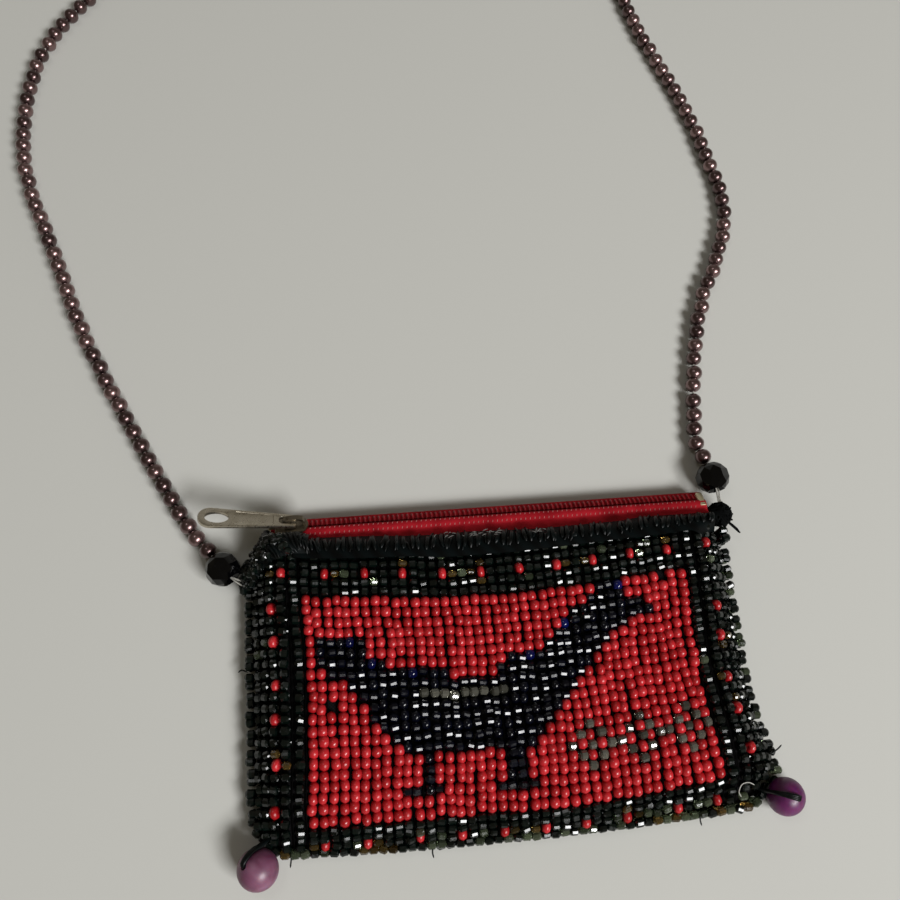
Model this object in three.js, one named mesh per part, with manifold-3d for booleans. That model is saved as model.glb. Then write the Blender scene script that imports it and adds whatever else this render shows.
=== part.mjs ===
// Beaded coin purse with a zip mouth and a strap of small pearls, lying on its back.
// Millimetres. +X runs along the width, +Y towards the zip and +Z up, out of the front.
import * as THREE from "three";
import { mergeVertices } from "three/addons/utils/BufferGeometryUtils.js";
import Module from "manifold-3d";

const wasm = await Module();
wasm.setup();

// Driving dimensions: loomed bead fabric
const COLUMN_PITCH = 2.235; // length of a bead and the warp thread beside it
const FIELD_ROW_PITCH = 2.24; // diameter of a round red bead
const BORDER_ROW_PITCH = 1.8; // diameter of a dark cut bead
const FABRIC_THICKNESS = 2.2;
const GROOVE_DEPTH = 0.95; // dip between two bead columns, down to the warp thread
const CREST_WIDTH = 1.3; // flat crest of a bead column
const FIELD_COLUMNS = 40;
const FIELD_ROWS = 21;
const SIDE_COLUMNS = 5; // dark border, each side
const TOP_ROWS = 5; // dark border, under the mouth
const BOTTOM_BORDER = 4.6; // dark border as seen from above, where it curls down
const TOP_CORNER_CUT = 3.5;
const BOTTOM_CORNER_CUT = 5;

// Driving dimensions: how the filled purse swells and sags
const PURSE_HEIGHT = 11.2; // floor to the crown of the front
const SIDE_SLOPE = 8; // how far in from a side the front reaches its crown
const BOTTOM_SLOPE = 20;
const SAG_BOTTOM = 1.5; // middle of a bead row below its ends
const SAG_FIELD_TOP = 2.7;
const SAG_MOUTH = 1;

// Driving dimensions: edging, lining and mouth cloth
const GAP = 0.3; // between pieces that touch
const EDGE_BEAD = 1.2; // how far the edging beads stand out
const EDGE_BEAD_VALLEY = 0.5; // edging between two beads
const EDGING_LOW = 0.9;
const EDGING_HIGH = 3.9;
const LINING_WALL = 0.6;
const LINING_SIDE_INSET = 3.5;
const LINING_BOTTOM_INSET = 7;
const MOUTH_CLOTH_WIDTH = 3.3;
const MOUTH_CLOTH_THICKNESS = 1.1;
const TAB_LENGTH = 11.4; // black corner over the zip's closed end
const TAB_REACH = 6.7; // mouth to the corner's far edge, over the zip
const TAB_THICKNESS = 1.6;
const TAB_SLANT_LENGTH = 8; // its slanted outer corner
const TAB_SLANT_REACH = 5.5;
const KNOT_LENGTH = 5.8; // black thread knot past the zip's other end
const KNOT_REACH = 7;
const KNOT_SLANT = 2.5;
const KNOT_HEIGHT = 5.6; // above the back fabric, clear of the pull when it lies over the zip

// Driving dimensions: zip
const ZIP_TILT = 26; // degrees that the zip faces away from straight up
const ZIP_LEFT_INSET = 5.9; // side of the fabric to the coil's closed end
const ZIP_RIGHT_INSET = 5;
const COIL_PITCH = 1.2;
const COIL_HALF_WIDTH = 2.1;
const COIL_HEIGHT = 1.3;
const COIL_TOOTH_DEPTH = 0.4;
const TAPE_THICKNESS = 0.5;
const FRONT_TAPE_WIDTH = 5.5;
const BACK_TAPE_FLAT = 0.15; // back tape past the slider's flange, before it turns under
const BACK_TAPE_BULGE = 0.5; // how far the turn swings out
const BACK_TAPE_HEIGHT = 1.5; // where it meets the back fabric, above the floor
const TAPE_LEFT_TAIL = 2.5; // tape past the coil's ends
const TAPE_RIGHT_TAIL = 2.4;
const STOP_LENGTH = 1.6;
const STOP_HEIGHT = 1.8;
const SLIDER_LENGTH = 9;
const SLIDER_PLATE = 0.8;
const SLIDER_FLANGE = 0.6;
const SLIDER_POST = 0.5;
const SLIDER_POST_LENGTH = 2;
const SLIDER_CLEARANCE = 0.35;
const BAIL_HALF_LENGTH = 2.6;
const BAIL_WIRE = 0.8;
const BAIL_WIDTH = 1.4;
const BAIL_WINDOW = 1.6;
const PULL_LENGTH = 21.5;
const PULL_TIP_WIDTH = 5.6;
const PULL_HEAD_WIDTH = 3.5;
const PULL_THICKNESS = 0.9;
const PULL_ARM = 0.7;
const PULL_HOLE_LENGTH = 5.4;
const PULL_HOLE_WIDTH = 3.4;
const PULL_RIM = 1.5;
const PULL_LIFT = 10; // degrees that the pull stands off the zip

// Driving dimensions: beads and threads
const PEARL_DIAMETER = 4;
const STRAP_LIFT = 0.1; // strand above the floor
const END_BEAD_DIAMETER = 8;
const END_BEAD_LENGTH = 6.6;
const END_BEAD_TABLE = 4.8; // flat round the hole
const END_BEAD_GIRDLE = 2; // length of the widest part
const END_BEAD_BORE = 1;
const LEFT_CORNER_BEAD = 8.6;
const RIGHT_CORNER_BEAD = 8.2;
const CORNER_BEAD_BORE = 1.6;
const CORNER_BEAD_STANDOFF = 0.9; // cut corner to bead
const LEFT_BEAD_SLIDE = 2.4; // along the cut corner, towards the bottom
const RIGHT_BEAD_SLIDE = -2.4;
const STRAP_THREAD = 0.7;
const CORNER_THREAD = 0.9;

// Sizes that follow from them
const fieldX = (FIELD_COLUMNS * COLUMN_PITCH) / 2;
const fieldY = (FIELD_ROWS * FIELD_ROW_PITCH) / 2;
const halfWidth = fieldX + SIDE_COLUMNS * COLUMN_PITCH;
const panelTop = fieldY + TOP_ROWS * BORDER_ROW_PITCH;
const panelBottom = -fieldY - BOTTOM_BORDER;
const columns = FIELD_COLUMNS + 2 * SIDE_COLUMNS;
const rimTop = 2 * FABRIC_THICKNESS + GAP;
const far = 4 * halfWidth; // longer than anything that is cut

// Materials
const finish = (color, roughness, metalness = 0) =>
  new THREE.MeshStandardMaterial({ color, roughness, metalness });
const darkBeads = finish("#0d1411", 0.2);
const redBeads = finish("#c92c33", 0.3);
const birdBeads = finish("#0b0d1a", 0.2);
const liningCloth = finish("#1b1a1c", 0.9);
const blackCloth = finish("#101012", 0.9);
const redTape = finish("#a31d2a", 0.8);
const redCoil = finish("#8e1624", 0.5);
const nickel = finish("#a9a08c", 0.3, 1);
const pearl = finish("#6d4a4b", 0.25, 0.3);
const blackGlass = finish("#08080a", 0.1);
const nylon = finish("#d6d4cf", 0.3);
const mauveBead = finish("#8a5068", 0.35);
const purpleBead = finish("#5f1d52", 0.35);

// A closed geometry with only shared positions left in it.
function closed(geometry) {
  const plain = geometry.index ? geometry.toNonIndexed() : geometry.clone();
  plain.deleteAttribute("normal");
  plain.deleteAttribute("uv");
  return mergeVertices(plain, 1e-4);
}

function solid(geometry) {
  const merged = closed(geometry);
  const vertProperties = merged.attributes.position.array;
  const triVerts = new Uint32Array(merged.index.array);
  return new wasm.Manifold(new wasm.Mesh({ numProp: 3, vertProperties, triVerts }));
}

function geometryOf(manifold) {
  const mesh = manifold.getMesh();
  const positions = new THREE.BufferAttribute(new Float32Array(mesh.vertProperties), 3);
  const triangles = new THREE.BufferAttribute(new Uint32Array(mesh.triVerts), 1);
  const geometry = new THREE.BufferGeometry().setAttribute("position", positions).setIndex(triangles);
  geometry.computeVertexNormals();
  return geometry;
}

function addPiece(group, name, geometry, material) {
  const mesh = new THREE.Mesh(geometry, material);
  mesh.name = name;
  group.add(mesh);
  return mesh;
}

// An upright prism over an outline seen from above.
function prism(outline, low = -far, high = far, holes = []) {
  const shape = new THREE.Shape(outline.map(([x, y]) => new THREE.Vector2(x, y)));
  for (const hole of holes) {
    shape.holes.push(new THREE.Path(hole.map(([x, y]) => new THREE.Vector2(x, y))));
  }
  const geometry = new THREE.ExtrudeGeometry(shape, { depth: high - low, bevelEnabled: false });
  return geometry.translate(0, 0, low);
}

// A bar along X with the section that an outline of Y and Z gives.
function barAlongX(section, left, right) {
  const turn = new THREE.Matrix4().makeBasis(
    new THREE.Vector3(0, 1, 0),
    new THREE.Vector3(0, 0, 1),
    new THREE.Vector3(1, 0, 0),
  );
  return prism(section, left, right).applyMatrix4(turn);
}

function box(x0, x1, y0, y1, z0, z1) {
  const geometry = new THREE.BoxGeometry(x1 - x0, y1 - y0, z1 - z0);
  return geometry.translate((x0 + x1) / 2, (y0 + y1) / 2, (z0 + z1) / 2);
}

// A closed block over a grid of X and Y, between two height functions.
function heightBlock(xs, ys, low, high) {
  const layer = xs.length * ys.length;
  const positions = [];
  for (const height of [low, high]) {
    for (const y of ys) {
      for (const x of xs) positions.push(x, y, height(x, y));
    }
  }
  const triangles = [];
  const quad = (a, b, c, d) => triangles.push(a, b, c, a, c, d);
  const at = (i, j, k) => k * layer + j * xs.length + i;
  for (let j = 0; j + 1 < ys.length; j++) {
    for (let i = 0; i + 1 < xs.length; i++) {
      quad(at(i, j, 0), at(i, j + 1, 0), at(i + 1, j + 1, 0), at(i + 1, j, 0));
      quad(at(i, j, 1), at(i + 1, j, 1), at(i + 1, j + 1, 1), at(i, j + 1, 1));
    }
  }
  const lastX = xs.length - 1;
  const lastY = ys.length - 1;
  for (let i = 0; i < lastX; i++) {
    quad(at(i, 0, 0), at(i + 1, 0, 0), at(i + 1, 0, 1), at(i, 0, 1));
    quad(at(i + 1, lastY, 0), at(i, lastY, 0), at(i, lastY, 1), at(i + 1, lastY, 1));
  }
  for (let j = 0; j < lastY; j++) {
    quad(at(0, j + 1, 0), at(0, j, 0), at(0, j, 1), at(0, j + 1, 1));
    quad(at(lastX, j, 0), at(lastX, j + 1, 0), at(lastX, j + 1, 1), at(lastX, j, 1));
  }
  const geometry = new THREE.BufferGeometry();
  geometry.setAttribute("position", new THREE.Float32BufferAttribute(positions, 3));
  geometry.setIndex(triangles);
  return geometry;
}

// How far a bead row hangs below its ends, at a place on the unsagged fabric.
function sag(x, y) {
  const up = THREE.MathUtils.clamp((y - panelBottom) / (fieldY - panelBottom), 0, 1);
  const past = THREE.MathUtils.clamp((y - fieldY) / (panelTop - fieldY), 0, 1);
  const field = THREE.MathUtils.lerp(SAG_BOTTOM, SAG_FIELD_TOP, up);
  return THREE.MathUtils.lerp(field, SAG_MOUTH, past) * (1 - (x / halfWidth) ** 2);
}

// An outline with its edges cut into short steps, each point lowered by the sag there.
function sagged(outline) {
  const longest = 4 * COLUMN_PITCH;
  return outline.flatMap(([x, y], i) => {
    const [nextX, nextY] = outline[(i + 1) % outline.length];
    const steps = Math.max(1, Math.ceil(Math.abs(nextX - x) / longest));
    return Array.from({ length: steps }, (_, s) => {
      const px = THREE.MathUtils.lerp(x, nextX, s / steps);
      const py = THREE.MathUtils.lerp(y, nextY, s / steps);
      return [px, py - sag(px, py)];
    });
  });
}

function rectangle(x, y0, y1) {
  return [[-x, y0], [x, y0], [x, y1], [-x, y1]];
}

// A rectangle with its corners cut, for the fabric and what is sewn round it.
function cutRectangle(x, y0, y1, bottomCut, topCut) {
  return [
    [-x + bottomCut, y0], [x - bottomCut, y0], [x, y0 + bottomCut], [x, y1 - topCut],
    [x - topCut, y1], [-x + topCut, y1], [-x, y1 - topCut], [-x, y0 + bottomCut],
  ];
}

// Top of the front's bead crests: a flat crown that falls to a thin rim at three edges.
function frontTop(x, y) {
  const ease = (share) => Math.sin((THREE.MathUtils.clamp(share, 0, 1) * Math.PI) / 2);
  const side = ease((halfWidth - Math.abs(x)) / SIDE_SLOPE);
  const bottom = ease((y + sag(x, y) - panelBottom) / BOTTOM_SLOPE);
  return rimTop + (PURSE_HEIGHT - rimTop) * side * bottom;
}

const steps = (from, to, count) =>
  Array.from({ length: count + 1 }, (_, i) => THREE.MathUtils.lerp(from, to, i / count));

// Bead columns: each has a crest and a groove beside it, and the back's crests are pressed flat.
const crestEdge = CREST_WIDTH / 2;
const frontXs = steps(-halfWidth, halfWidth, 2 * columns);
const backXs = [];
for (let i = 0; i < columns; i++) {
  const centre = (i + 0.5) * COLUMN_PITCH - halfWidth;
  backXs.push(centre - COLUMN_PITCH / 2, centre - crestEdge, centre + crestEdge);
}
backXs.push(halfWidth);
const grooveEdge = (crestEdge + COLUMN_PITCH / 2) / 2; // between a crest's edge and the groove
const groove = (x) => {
  const offset = Math.abs(x + halfWidth) / COLUMN_PITCH;
  const fromCrest = Math.abs((offset % 1) - 0.5) * COLUMN_PITCH;
  return fromCrest > grooveEdge ? GROOVE_DEPTH : 0;
};

const rowYs = [
  ...steps(panelBottom - SAG_BOTTOM, panelBottom - SAG_BOTTOM + BOTTOM_SLOPE, 3),
  panelTop,
];
const slopeXs = steps(halfWidth, halfWidth - SIDE_SLOPE, 4);
const bendXs = [...slopeXs.map((x) => -x), 0, ...slopeXs.toReversed()];

const purse = new THREE.Group();

// Front bead fabric, parted into its dark border, red field and dark bird
const panelOutline = sagged(
  cutRectangle(halfWidth, panelBottom, panelTop, BOTTOM_CORNER_CUT, TOP_CORNER_CUT),
);
const fabricUnder = (x, y) => frontTop(x, y) - FABRIC_THICKNESS;
const frontFabric = solid(heightBlock(frontXs, rowYs, () => -far, (x, y) => frontTop(x, y) - groove(x)))
  .subtract(solid(heightBlock(bendXs, rowYs, () => -2 * far, fabricUnder)))
  .intersect(solid(prism(panelOutline)));

// The bird, in bead columns and rows from the middle of the field: tail, back, neck and head,
// then the beak, breast, right foot, belly, left foot and the underside of the tail.
const BIRD = [
  [-19, 6.5], [-19, 7.5], [-14.5, 7.5], [-13, 5], [-11.5, 4], [-6, 3], [-1, 3], [0, 4.8], [4, 5], [6, 6.5],
  [8, 8.5], [10.5, 10.3], [13.2, 10.3], [13.2, 9], [14.8, 8.2], [16, 6.5], [14, 6.3], [12, 5.6], [10, 4],
  [8, 2], [6, 0], [4, -2.5], [2, -4.5], [1, -5], [0.9, -7.2], [2, -7.8], [2, -8.8],
  [-2, -8.8], [-2, -7.8], [-0.8, -7.2], [-0.9, -4.6], [-5, -4.2], [-8, -5], [-8.1, -7.2],
  [-6.5, -7.8], [-6.5, -8.8], [-11, -8.8], [-11, -7.8], [-9.2, -7.2], [-9.1, -5.2],
  [-11, -3.8], [-13, -1.5], [-14.5, 0.5], [-16.5, 2.2], [-19, 3.4],
];
const birdOutline = sagged(BIRD.map(([column, row]) => [column * COLUMN_PITCH, row * FIELD_ROW_PITCH]));
const birdPrism = solid(prism(birdOutline));
let fieldPrism = solid(prism(sagged(rectangle(fieldX - GAP, -fieldY + GAP, fieldY - GAP))));
for (const turn of steps(0, 2 * Math.PI, 8).slice(1)) {
  fieldPrism = fieldPrism.subtract(birdPrism.translate(GAP * Math.cos(turn), GAP * Math.sin(turn), 0));
}
const borderHole = solid(prism(sagged(rectangle(fieldX, -fieldY, fieldY))));
addPiece(purse, "front_border_beads", geometryOf(frontFabric.subtract(borderHole)), darkBeads);
addPiece(purse, "red_field_beads", geometryOf(frontFabric.intersect(fieldPrism)), redBeads);
addPiece(purse, "bird_beads", geometryOf(frontFabric.intersect(birdPrism)), birdBeads);

// Back bead fabric: flat, with its bead columns on the floor
const backYs = [panelBottom - SAG_BOTTOM, panelTop];
const backFabric = solid(heightBlock(backXs, backYs, groove, () => FABRIC_THICKNESS))
  .intersect(solid(prism(panelOutline)));
const backField = solid(prism(sagged(rectangle(fieldX - GAP, -fieldY + GAP, fieldY - GAP))));
addPiece(purse, "back_border_beads", geometryOf(backFabric.subtract(borderHole)), darkBeads);
addPiece(purse, "back_field_beads", geometryOf(backFabric.intersect(backField)), redBeads);

// Bead edging: a scalloped row of beads along the sides and the bottom
function scallops(from, to, pitch, place) {
  const beads = Math.round(Math.abs(to - from) / pitch);
  return steps(from, to, 2 * beads).map((at, i) => place(at, i % 2 ? EDGE_BEAD : EDGE_BEAD_VALLEY));
}
const sideLow = panelBottom + BOTTOM_CORNER_CUT;
const sideHigh = panelTop - TOP_CORNER_CUT;
const edgeX = halfWidth + GAP;
for (const [name, side] of [["left_edge_beads", -1], ["right_edge_beads", 1]]) {
  const outer = scallops(sideLow, sideHigh, BORDER_ROW_PITCH, (y, out) => [side * (edgeX + out), y]);
  const inner = [[side * edgeX, sideHigh], [side * edgeX, sideLow]];
  addPiece(purse, name, prism([...outer, ...inner], EDGING_LOW, EDGING_HIGH), darkBeads);
}
const bottomEnd = halfWidth - BOTTOM_CORNER_CUT;
const bottomEdge = panelBottom - GAP;
const bottomOuter = scallops(bottomEnd, -bottomEnd, COLUMN_PITCH, (x, out) => [
  x, bottomEdge - out - sag(x, panelBottom),
]);
const bottomInner = panelOutline.filter(([x, y]) => y < panelBottom + GAP && Math.abs(x) <= bottomEnd)
  .map(([x, y]) => [x, y - GAP]);
const bottomEdging = prism([...bottomOuter, ...bottomInner], EDGING_LOW, EDGING_HIGH);
addPiece(purse, "bottom_edge_beads", bottomEdging, darkBeads);

// Cloth lining: a bag between the two fabrics, open at the mouth
const liningFloor = FABRIC_THICKNESS + GAP;
const liningX = halfWidth - LINING_SIDE_INSET;
const liningBottom = panelBottom + LINING_BOTTOM_INSET;
const liningTop = (x, y) => fabricUnder(x, y) - GAP;
const liningSpace = (wall) =>
  solid(heightBlock(bendXs, rowYs, () => liningFloor + wall, (x, y) => liningTop(x, y) - wall))
    .intersect(solid(prism(sagged(rectangle(liningX - wall, liningBottom + wall, panelTop + wall - GAP)))));
const liningBag = liningSpace(0).subtract(liningSpace(LINING_WALL));
addPiece(purse, "lining", geometryOf(liningBag), liningCloth);

// Zip frame: its origin is the middle of the coil, its Y runs across the tapes, its Z faces out
const tilt = THREE.MathUtils.degToRad(ZIP_TILT);
const tapeStart = COIL_HALF_WIDTH + GAP;
const tapeInnerEnd = tapeStart + FRONT_TAPE_WIDTH;
const tapeTuck = panelTop + GAP + TAPE_THICKNESS;
const zipY = tapeTuck + tapeInnerEnd * Math.cos(tilt);
const zipZ = PURSE_HEIGHT - FABRIC_THICKNESS - tapeInnerEnd * Math.sin(tilt);
const coilLeft = -halfWidth + ZIP_LEFT_INSET;
const coilRight = halfWidth - ZIP_RIGHT_INSET;
const tapeLeft = coilLeft - TAPE_LEFT_TAIL;
const tapeRight = coilRight + TAPE_RIGHT_TAIL;
const fromZip = (across, out) => [
  zipY + across * Math.cos(tilt) + out * Math.sin(tilt),
  zipZ - across * Math.sin(tilt) + out * Math.cos(tilt),
];
const zip = new THREE.Group();
zip.position.set(0, zipY, zipZ);
zip.rotation.x = -tilt;
purse.add(zip);

// Nylon coil: a toothed row along the edge of each tape, parted where the slider's post runs
const coilInner = SLIDER_POST / 2 + GAP;
const teeth = Math.round((coilRight - coilLeft) / COIL_PITCH);
const coilTop = steps(coilRight, coilLeft, 2 * teeth).map((x, i) => [
  x, COIL_HEIGHT / 2 - (i % 2 ? 0 : COIL_TOOTH_DEPTH),
]);
const coilProfile = [[coilLeft, -COIL_HEIGHT / 2], [coilRight, -COIL_HEIGHT / 2], ...coilTop];
const coilTurn = new THREE.Matrix4().makeBasis(
  new THREE.Vector3(1, 0, 0),
  new THREE.Vector3(0, 0, 1),
  new THREE.Vector3(0, -1, 0),
);
const coilBar = (from, to) => prism(coilProfile, -to, -from).applyMatrix4(coilTurn);
addPiece(zip, "front_zip_coil", coilBar(-COIL_HALF_WIDTH, -coilInner), redCoil);
addPiece(zip, "back_zip_coil", coilBar(coilInner, COIL_HALF_WIDTH), redCoil);

// Zip tapes: the front one is flat, the back one turns under to the back fabric
const halfTape = TAPE_THICKNESS / 2;
const frontTape = box(tapeLeft, tapeRight, -tapeInnerEnd, -tapeStart, -halfTape, halfTape);
addPiece(zip, "front_zip_tape", frontTape, redTape);

// A band of even thickness along a line of Y and Z points.
function band(points, thickness) {
  const side = (sign) => points.map(([y, z], i) => {
    const [fromY, fromZ] = points[Math.max(i - 1, 0)];
    const [toY, toZ] = points[Math.min(i + 1, points.length - 1)];
    const length = Math.hypot(toY - fromY, toZ - fromZ);
    const half = (sign * thickness) / 2;
    return [y - (half * (toZ - fromZ)) / length, z + (half * (toY - fromY)) / length];
  });
  return [...side(-1), ...side(1).toReversed()];
}
const sliderOuter = COIL_HALF_WIDTH + SLIDER_CLEARANCE + SLIDER_FLANGE;
const [turnY, turnZ] = fromZip(sliderOuter + BACK_TAPE_FLAT, 0);
const turnUnder = new THREE.QuadraticBezierCurve(
  new THREE.Vector2(turnY - (turnZ - BACK_TAPE_HEIGHT), BACK_TAPE_HEIGHT),
  new THREE.Vector2(turnY + BACK_TAPE_BULGE, BACK_TAPE_HEIGHT),
  new THREE.Vector2(turnY, turnZ),
);
const backTapeLine = [
  [tapeTuck, BACK_TAPE_HEIGHT],
  ...turnUnder.getPoints(5).map((point) => point.toArray()),
  fromZip(tapeStart, 0),
];
const backTape = barAlongX(band(backTapeLine, TAPE_THICKNESS), tapeLeft, tapeRight);
addPiece(purse, "back_zip_tape", backTape, redTape);

// Black mouth cloth, stitched over the inner edge of each tape
const overTape = (y) => zipZ + (zipY - y) * Math.tan(tilt) + halfTape / Math.cos(tilt) + GAP;
const clothStart = panelTop + GAP;
const clothEnd = panelTop + MOUTH_CLOTH_WIDTH;
const tabRight = -halfWidth + TAB_LENGTH;
const frontCloth = [
  [clothStart, overTape(clothStart)],
  [clothEnd, overTape(clothEnd)],
  [clothEnd, overTape(clothEnd) + MOUTH_CLOTH_THICKNESS],
  [clothStart, overTape(clothStart) + MOUTH_CLOTH_THICKNESS],
];
addPiece(purse, "front_mouth_cloth", barAlongX(frontCloth, tabRight + GAP, coilRight), blackCloth);
const backClothTop = BACK_TAPE_HEIGHT - halfTape - GAP;
const backCloth = [
  [clothStart, 0], [clothEnd, 0], [clothEnd, backClothTop], [clothStart, backClothTop],
];
addPiece(purse, "back_mouth_cloth", barAlongX(backCloth, coilLeft, coilRight), blackCloth);

// Black stitched corner over the closed end of the zip, clear of the slider below it
const plateLow = COIL_HEIGHT / 2 + SLIDER_CLEARANCE;
const plateHigh = plateLow + SLIDER_PLATE;
const [, sliderTopZ] = fromZip(-sliderOuter, plateHigh);
const tabUnder = sliderTopZ + GAP;
const tabEnd = panelTop + TAB_REACH;
const tab = [
  [clothStart, overTape(clothStart)],
  [clothEnd, tabUnder],
  [tabEnd, tabUnder],
  [tabEnd, tabUnder + TAB_THICKNESS / 2],
  [clothEnd, tabUnder + TAB_THICKNESS],
  [clothStart, overTape(clothStart) + TAB_THICKNESS],
];
const tabOutline = [
  [-halfWidth, clothStart], [tabRight, clothStart], [tabRight, tabEnd],
  [-halfWidth + TAB_SLANT_LENGTH, tabEnd], [-halfWidth, tabEnd - TAB_SLANT_REACH],
];
const tabBar = solid(barAlongX(tab, -halfWidth - GAP, tabRight + GAP)).intersect(solid(prism(tabOutline)));
addPiece(purse, "left_corner_tab", geometryOf(tabBar), blackCloth);

// Knot of black thread that closes the corner past the zip's other end
const knotLeft = tapeRight + GAP;
const knotRight = knotLeft + KNOT_LENGTH;
const knotEnd = panelTop + KNOT_REACH;
const knotOutline = [
  [knotLeft, clothStart], [knotRight, clothStart], [knotRight, knotEnd - KNOT_SLANT],
  [knotRight - KNOT_SLANT, knotEnd], [knotLeft, knotEnd],
];
const threadKnot = prism(knotOutline, FABRIC_THICKNESS, FABRIC_THICKNESS + KNOT_HEIGHT);
addPiece(purse, "right_corner_knot", threadKnot, blackCloth);

// Zip stops: one clamp across both rows at the right, one on each row at the left
const stop = (x0, y0, y1) =>
  box(x0, x0 + STOP_LENGTH, y0, y1, -STOP_HEIGHT / 2, STOP_HEIGHT / 2);
addPiece(zip, "zip_bottom_stop", stop(coilRight + GAP, -COIL_HALF_WIDTH, COIL_HALF_WIDTH), nickel);
const topStopX = coilLeft - GAP - STOP_LENGTH;
addPiece(zip, "front_top_stop", stop(topStopX, -COIL_HALF_WIDTH, -coilInner), nickel);
addPiece(zip, "back_top_stop", stop(topStopX, coilInner, COIL_HALF_WIDTH), nickel);

// Zip slider: two plates round the coil, joined by a post, with a bail on top for the pull
const slider = new THREE.Group();
slider.position.x = coilLeft + SLIDER_LENGTH / 2;
zip.add(slider);
const half = SLIDER_LENGTH / 2;
const slot = halfTape + GAP;
const flangeInner = sliderOuter - SLIDER_FLANGE;
const bailTop = plateHigh + BAIL_WINDOW;
const bailInner = BAIL_HALF_LENGTH - BAIL_WIRE;
const sliderBlocks = [
  [-half, half, -sliderOuter, sliderOuter, -plateHigh, -plateLow],
  [-half, -half + SLIDER_POST_LENGTH, -SLIDER_POST / 2, SLIDER_POST / 2, -plateHigh, plateHigh],
  [-half, half, -sliderOuter, -flangeInner, slot, plateHigh],
  [-half, half, flangeInner, sliderOuter, slot, plateHigh],
  [-half, half, -sliderOuter, -flangeInner, -plateHigh, -slot],
  [-half, half, flangeInner, sliderOuter, -plateHigh, -slot],
  [-BAIL_HALF_LENGTH, -bailInner, -BAIL_WIDTH / 2, BAIL_WIDTH / 2, plateLow, bailTop + BAIL_WIRE],
  [bailInner, BAIL_HALF_LENGTH, -BAIL_WIDTH / 2, BAIL_WIDTH / 2, plateLow, bailTop + BAIL_WIRE],
  [-BAIL_HALF_LENGTH, BAIL_HALF_LENGTH, -BAIL_WIDTH / 2, BAIL_WIDTH / 2, bailTop, bailTop + BAIL_WIRE],
];
let sliderBody = solid(box(-half, half, -sliderOuter, sliderOuter, plateLow, plateHigh));
for (const block of sliderBlocks) sliderBody = sliderBody.add(solid(box(...block)));
addPiece(slider, "zip_slider", geometryOf(sliderBody), nickel);

// Pull tab: a tapered plate that hangs on the bail by its end bar, with an oval hole near its tip
const pull = new THREE.Group();
pull.position.z = plateHigh + BAIL_WINDOW / 2;
pull.rotation.y = THREE.MathUtils.degToRad(PULL_LIFT);
slider.add(pull);
const endBar = PULL_THICKNESS / 2;
const tipRadius = PULL_TIP_WIDTH / 2;
const headHalf = PULL_HEAD_WIDTH / 2;
const tipX = -PULL_LENGTH + tipRadius;
const tipArc = steps(Math.PI / 2, (3 * Math.PI) / 2, 10)
  .map((a) => [tipX + tipRadius * Math.cos(a), tipRadius * Math.sin(a)]);
const bailReach = Math.hypot(BAIL_HALF_LENGTH, BAIL_WINDOW / 2 + BAIL_WIRE) + SLIDER_CLEARANCE;
const slotHalf = headHalf - PULL_ARM;
const bailSlot = [
  [-endBar, -slotHalf], [-endBar, slotHalf], [-bailReach, slotHalf], [-bailReach, -slotHalf],
];
const holeX = -PULL_LENGTH + PULL_RIM + PULL_HOLE_LENGTH / 2;
const hole = steps(0, 2 * Math.PI, 14).slice(1).map((a) => [
  holeX + (PULL_HOLE_LENGTH / 2) * Math.cos(a), (PULL_HOLE_WIDTH / 2) * Math.sin(a),
]);
const pullOutline = [[endBar, -headHalf], [endBar, headHalf], ...tipArc];
const pullPlate = prism(pullOutline, -PULL_THICKNESS / 2, PULL_THICKNESS / 2, [bailSlot, hole]);
addPiece(pull, "pull_tab", pullPlate, nickel);

// A round bead on the floor, bored along its axis, with flat facets when it has few sides.
function bead(profile, sides, axis, centre) {
  const geometry = new THREE.LatheGeometry(profile.map(([r, h]) => new THREE.Vector2(r, h)), sides);
  const upright = new THREE.Vector3(0, 1, 0);
  const turn = new THREE.Quaternion().setFromUnitVectors(upright, axis.clone().normalize());
  return geometry.applyQuaternion(turn).translate(centre.x, centre.y, centre.z);
}
function roundProfile(diameter, bore, count) {
  const bottom = -Math.acos(bore / diameter);
  const arc = steps(bottom, -bottom, count)
    .map((a) => [(diameter / 2) * Math.cos(a), (diameter / 2) * Math.sin(a)]);
  return [...arc, arc[0]];
}
function facetedProfile(diameter, length, table, girdle, bore) {
  return [
    [bore, -length], [table, -length], [diameter, -girdle], [diameter, girdle],
    [table, length], [bore, length], [bore, -length],
  ].map(([across, along]) => [across / 2, along / 2]);
}

// A round thread or strand along a smooth line through its points.
function strand(points, diameter, count) {
  const line = new THREE.CatmullRomCurve3(points.map((p) => new THREE.Vector3(...p)));
  const sides = 8;
  const ring = steps(0, 2 * Math.PI, sides).slice(1)
    .map((a) => new THREE.Vector2((diameter / 2) * Math.cos(a), (diameter / 2) * Math.sin(a)));
  return new THREE.ExtrudeGeometry(new THREE.Shape(ring), {
    steps: count, bevelEnabled: false, extrudePath: line,
  });
}

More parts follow.
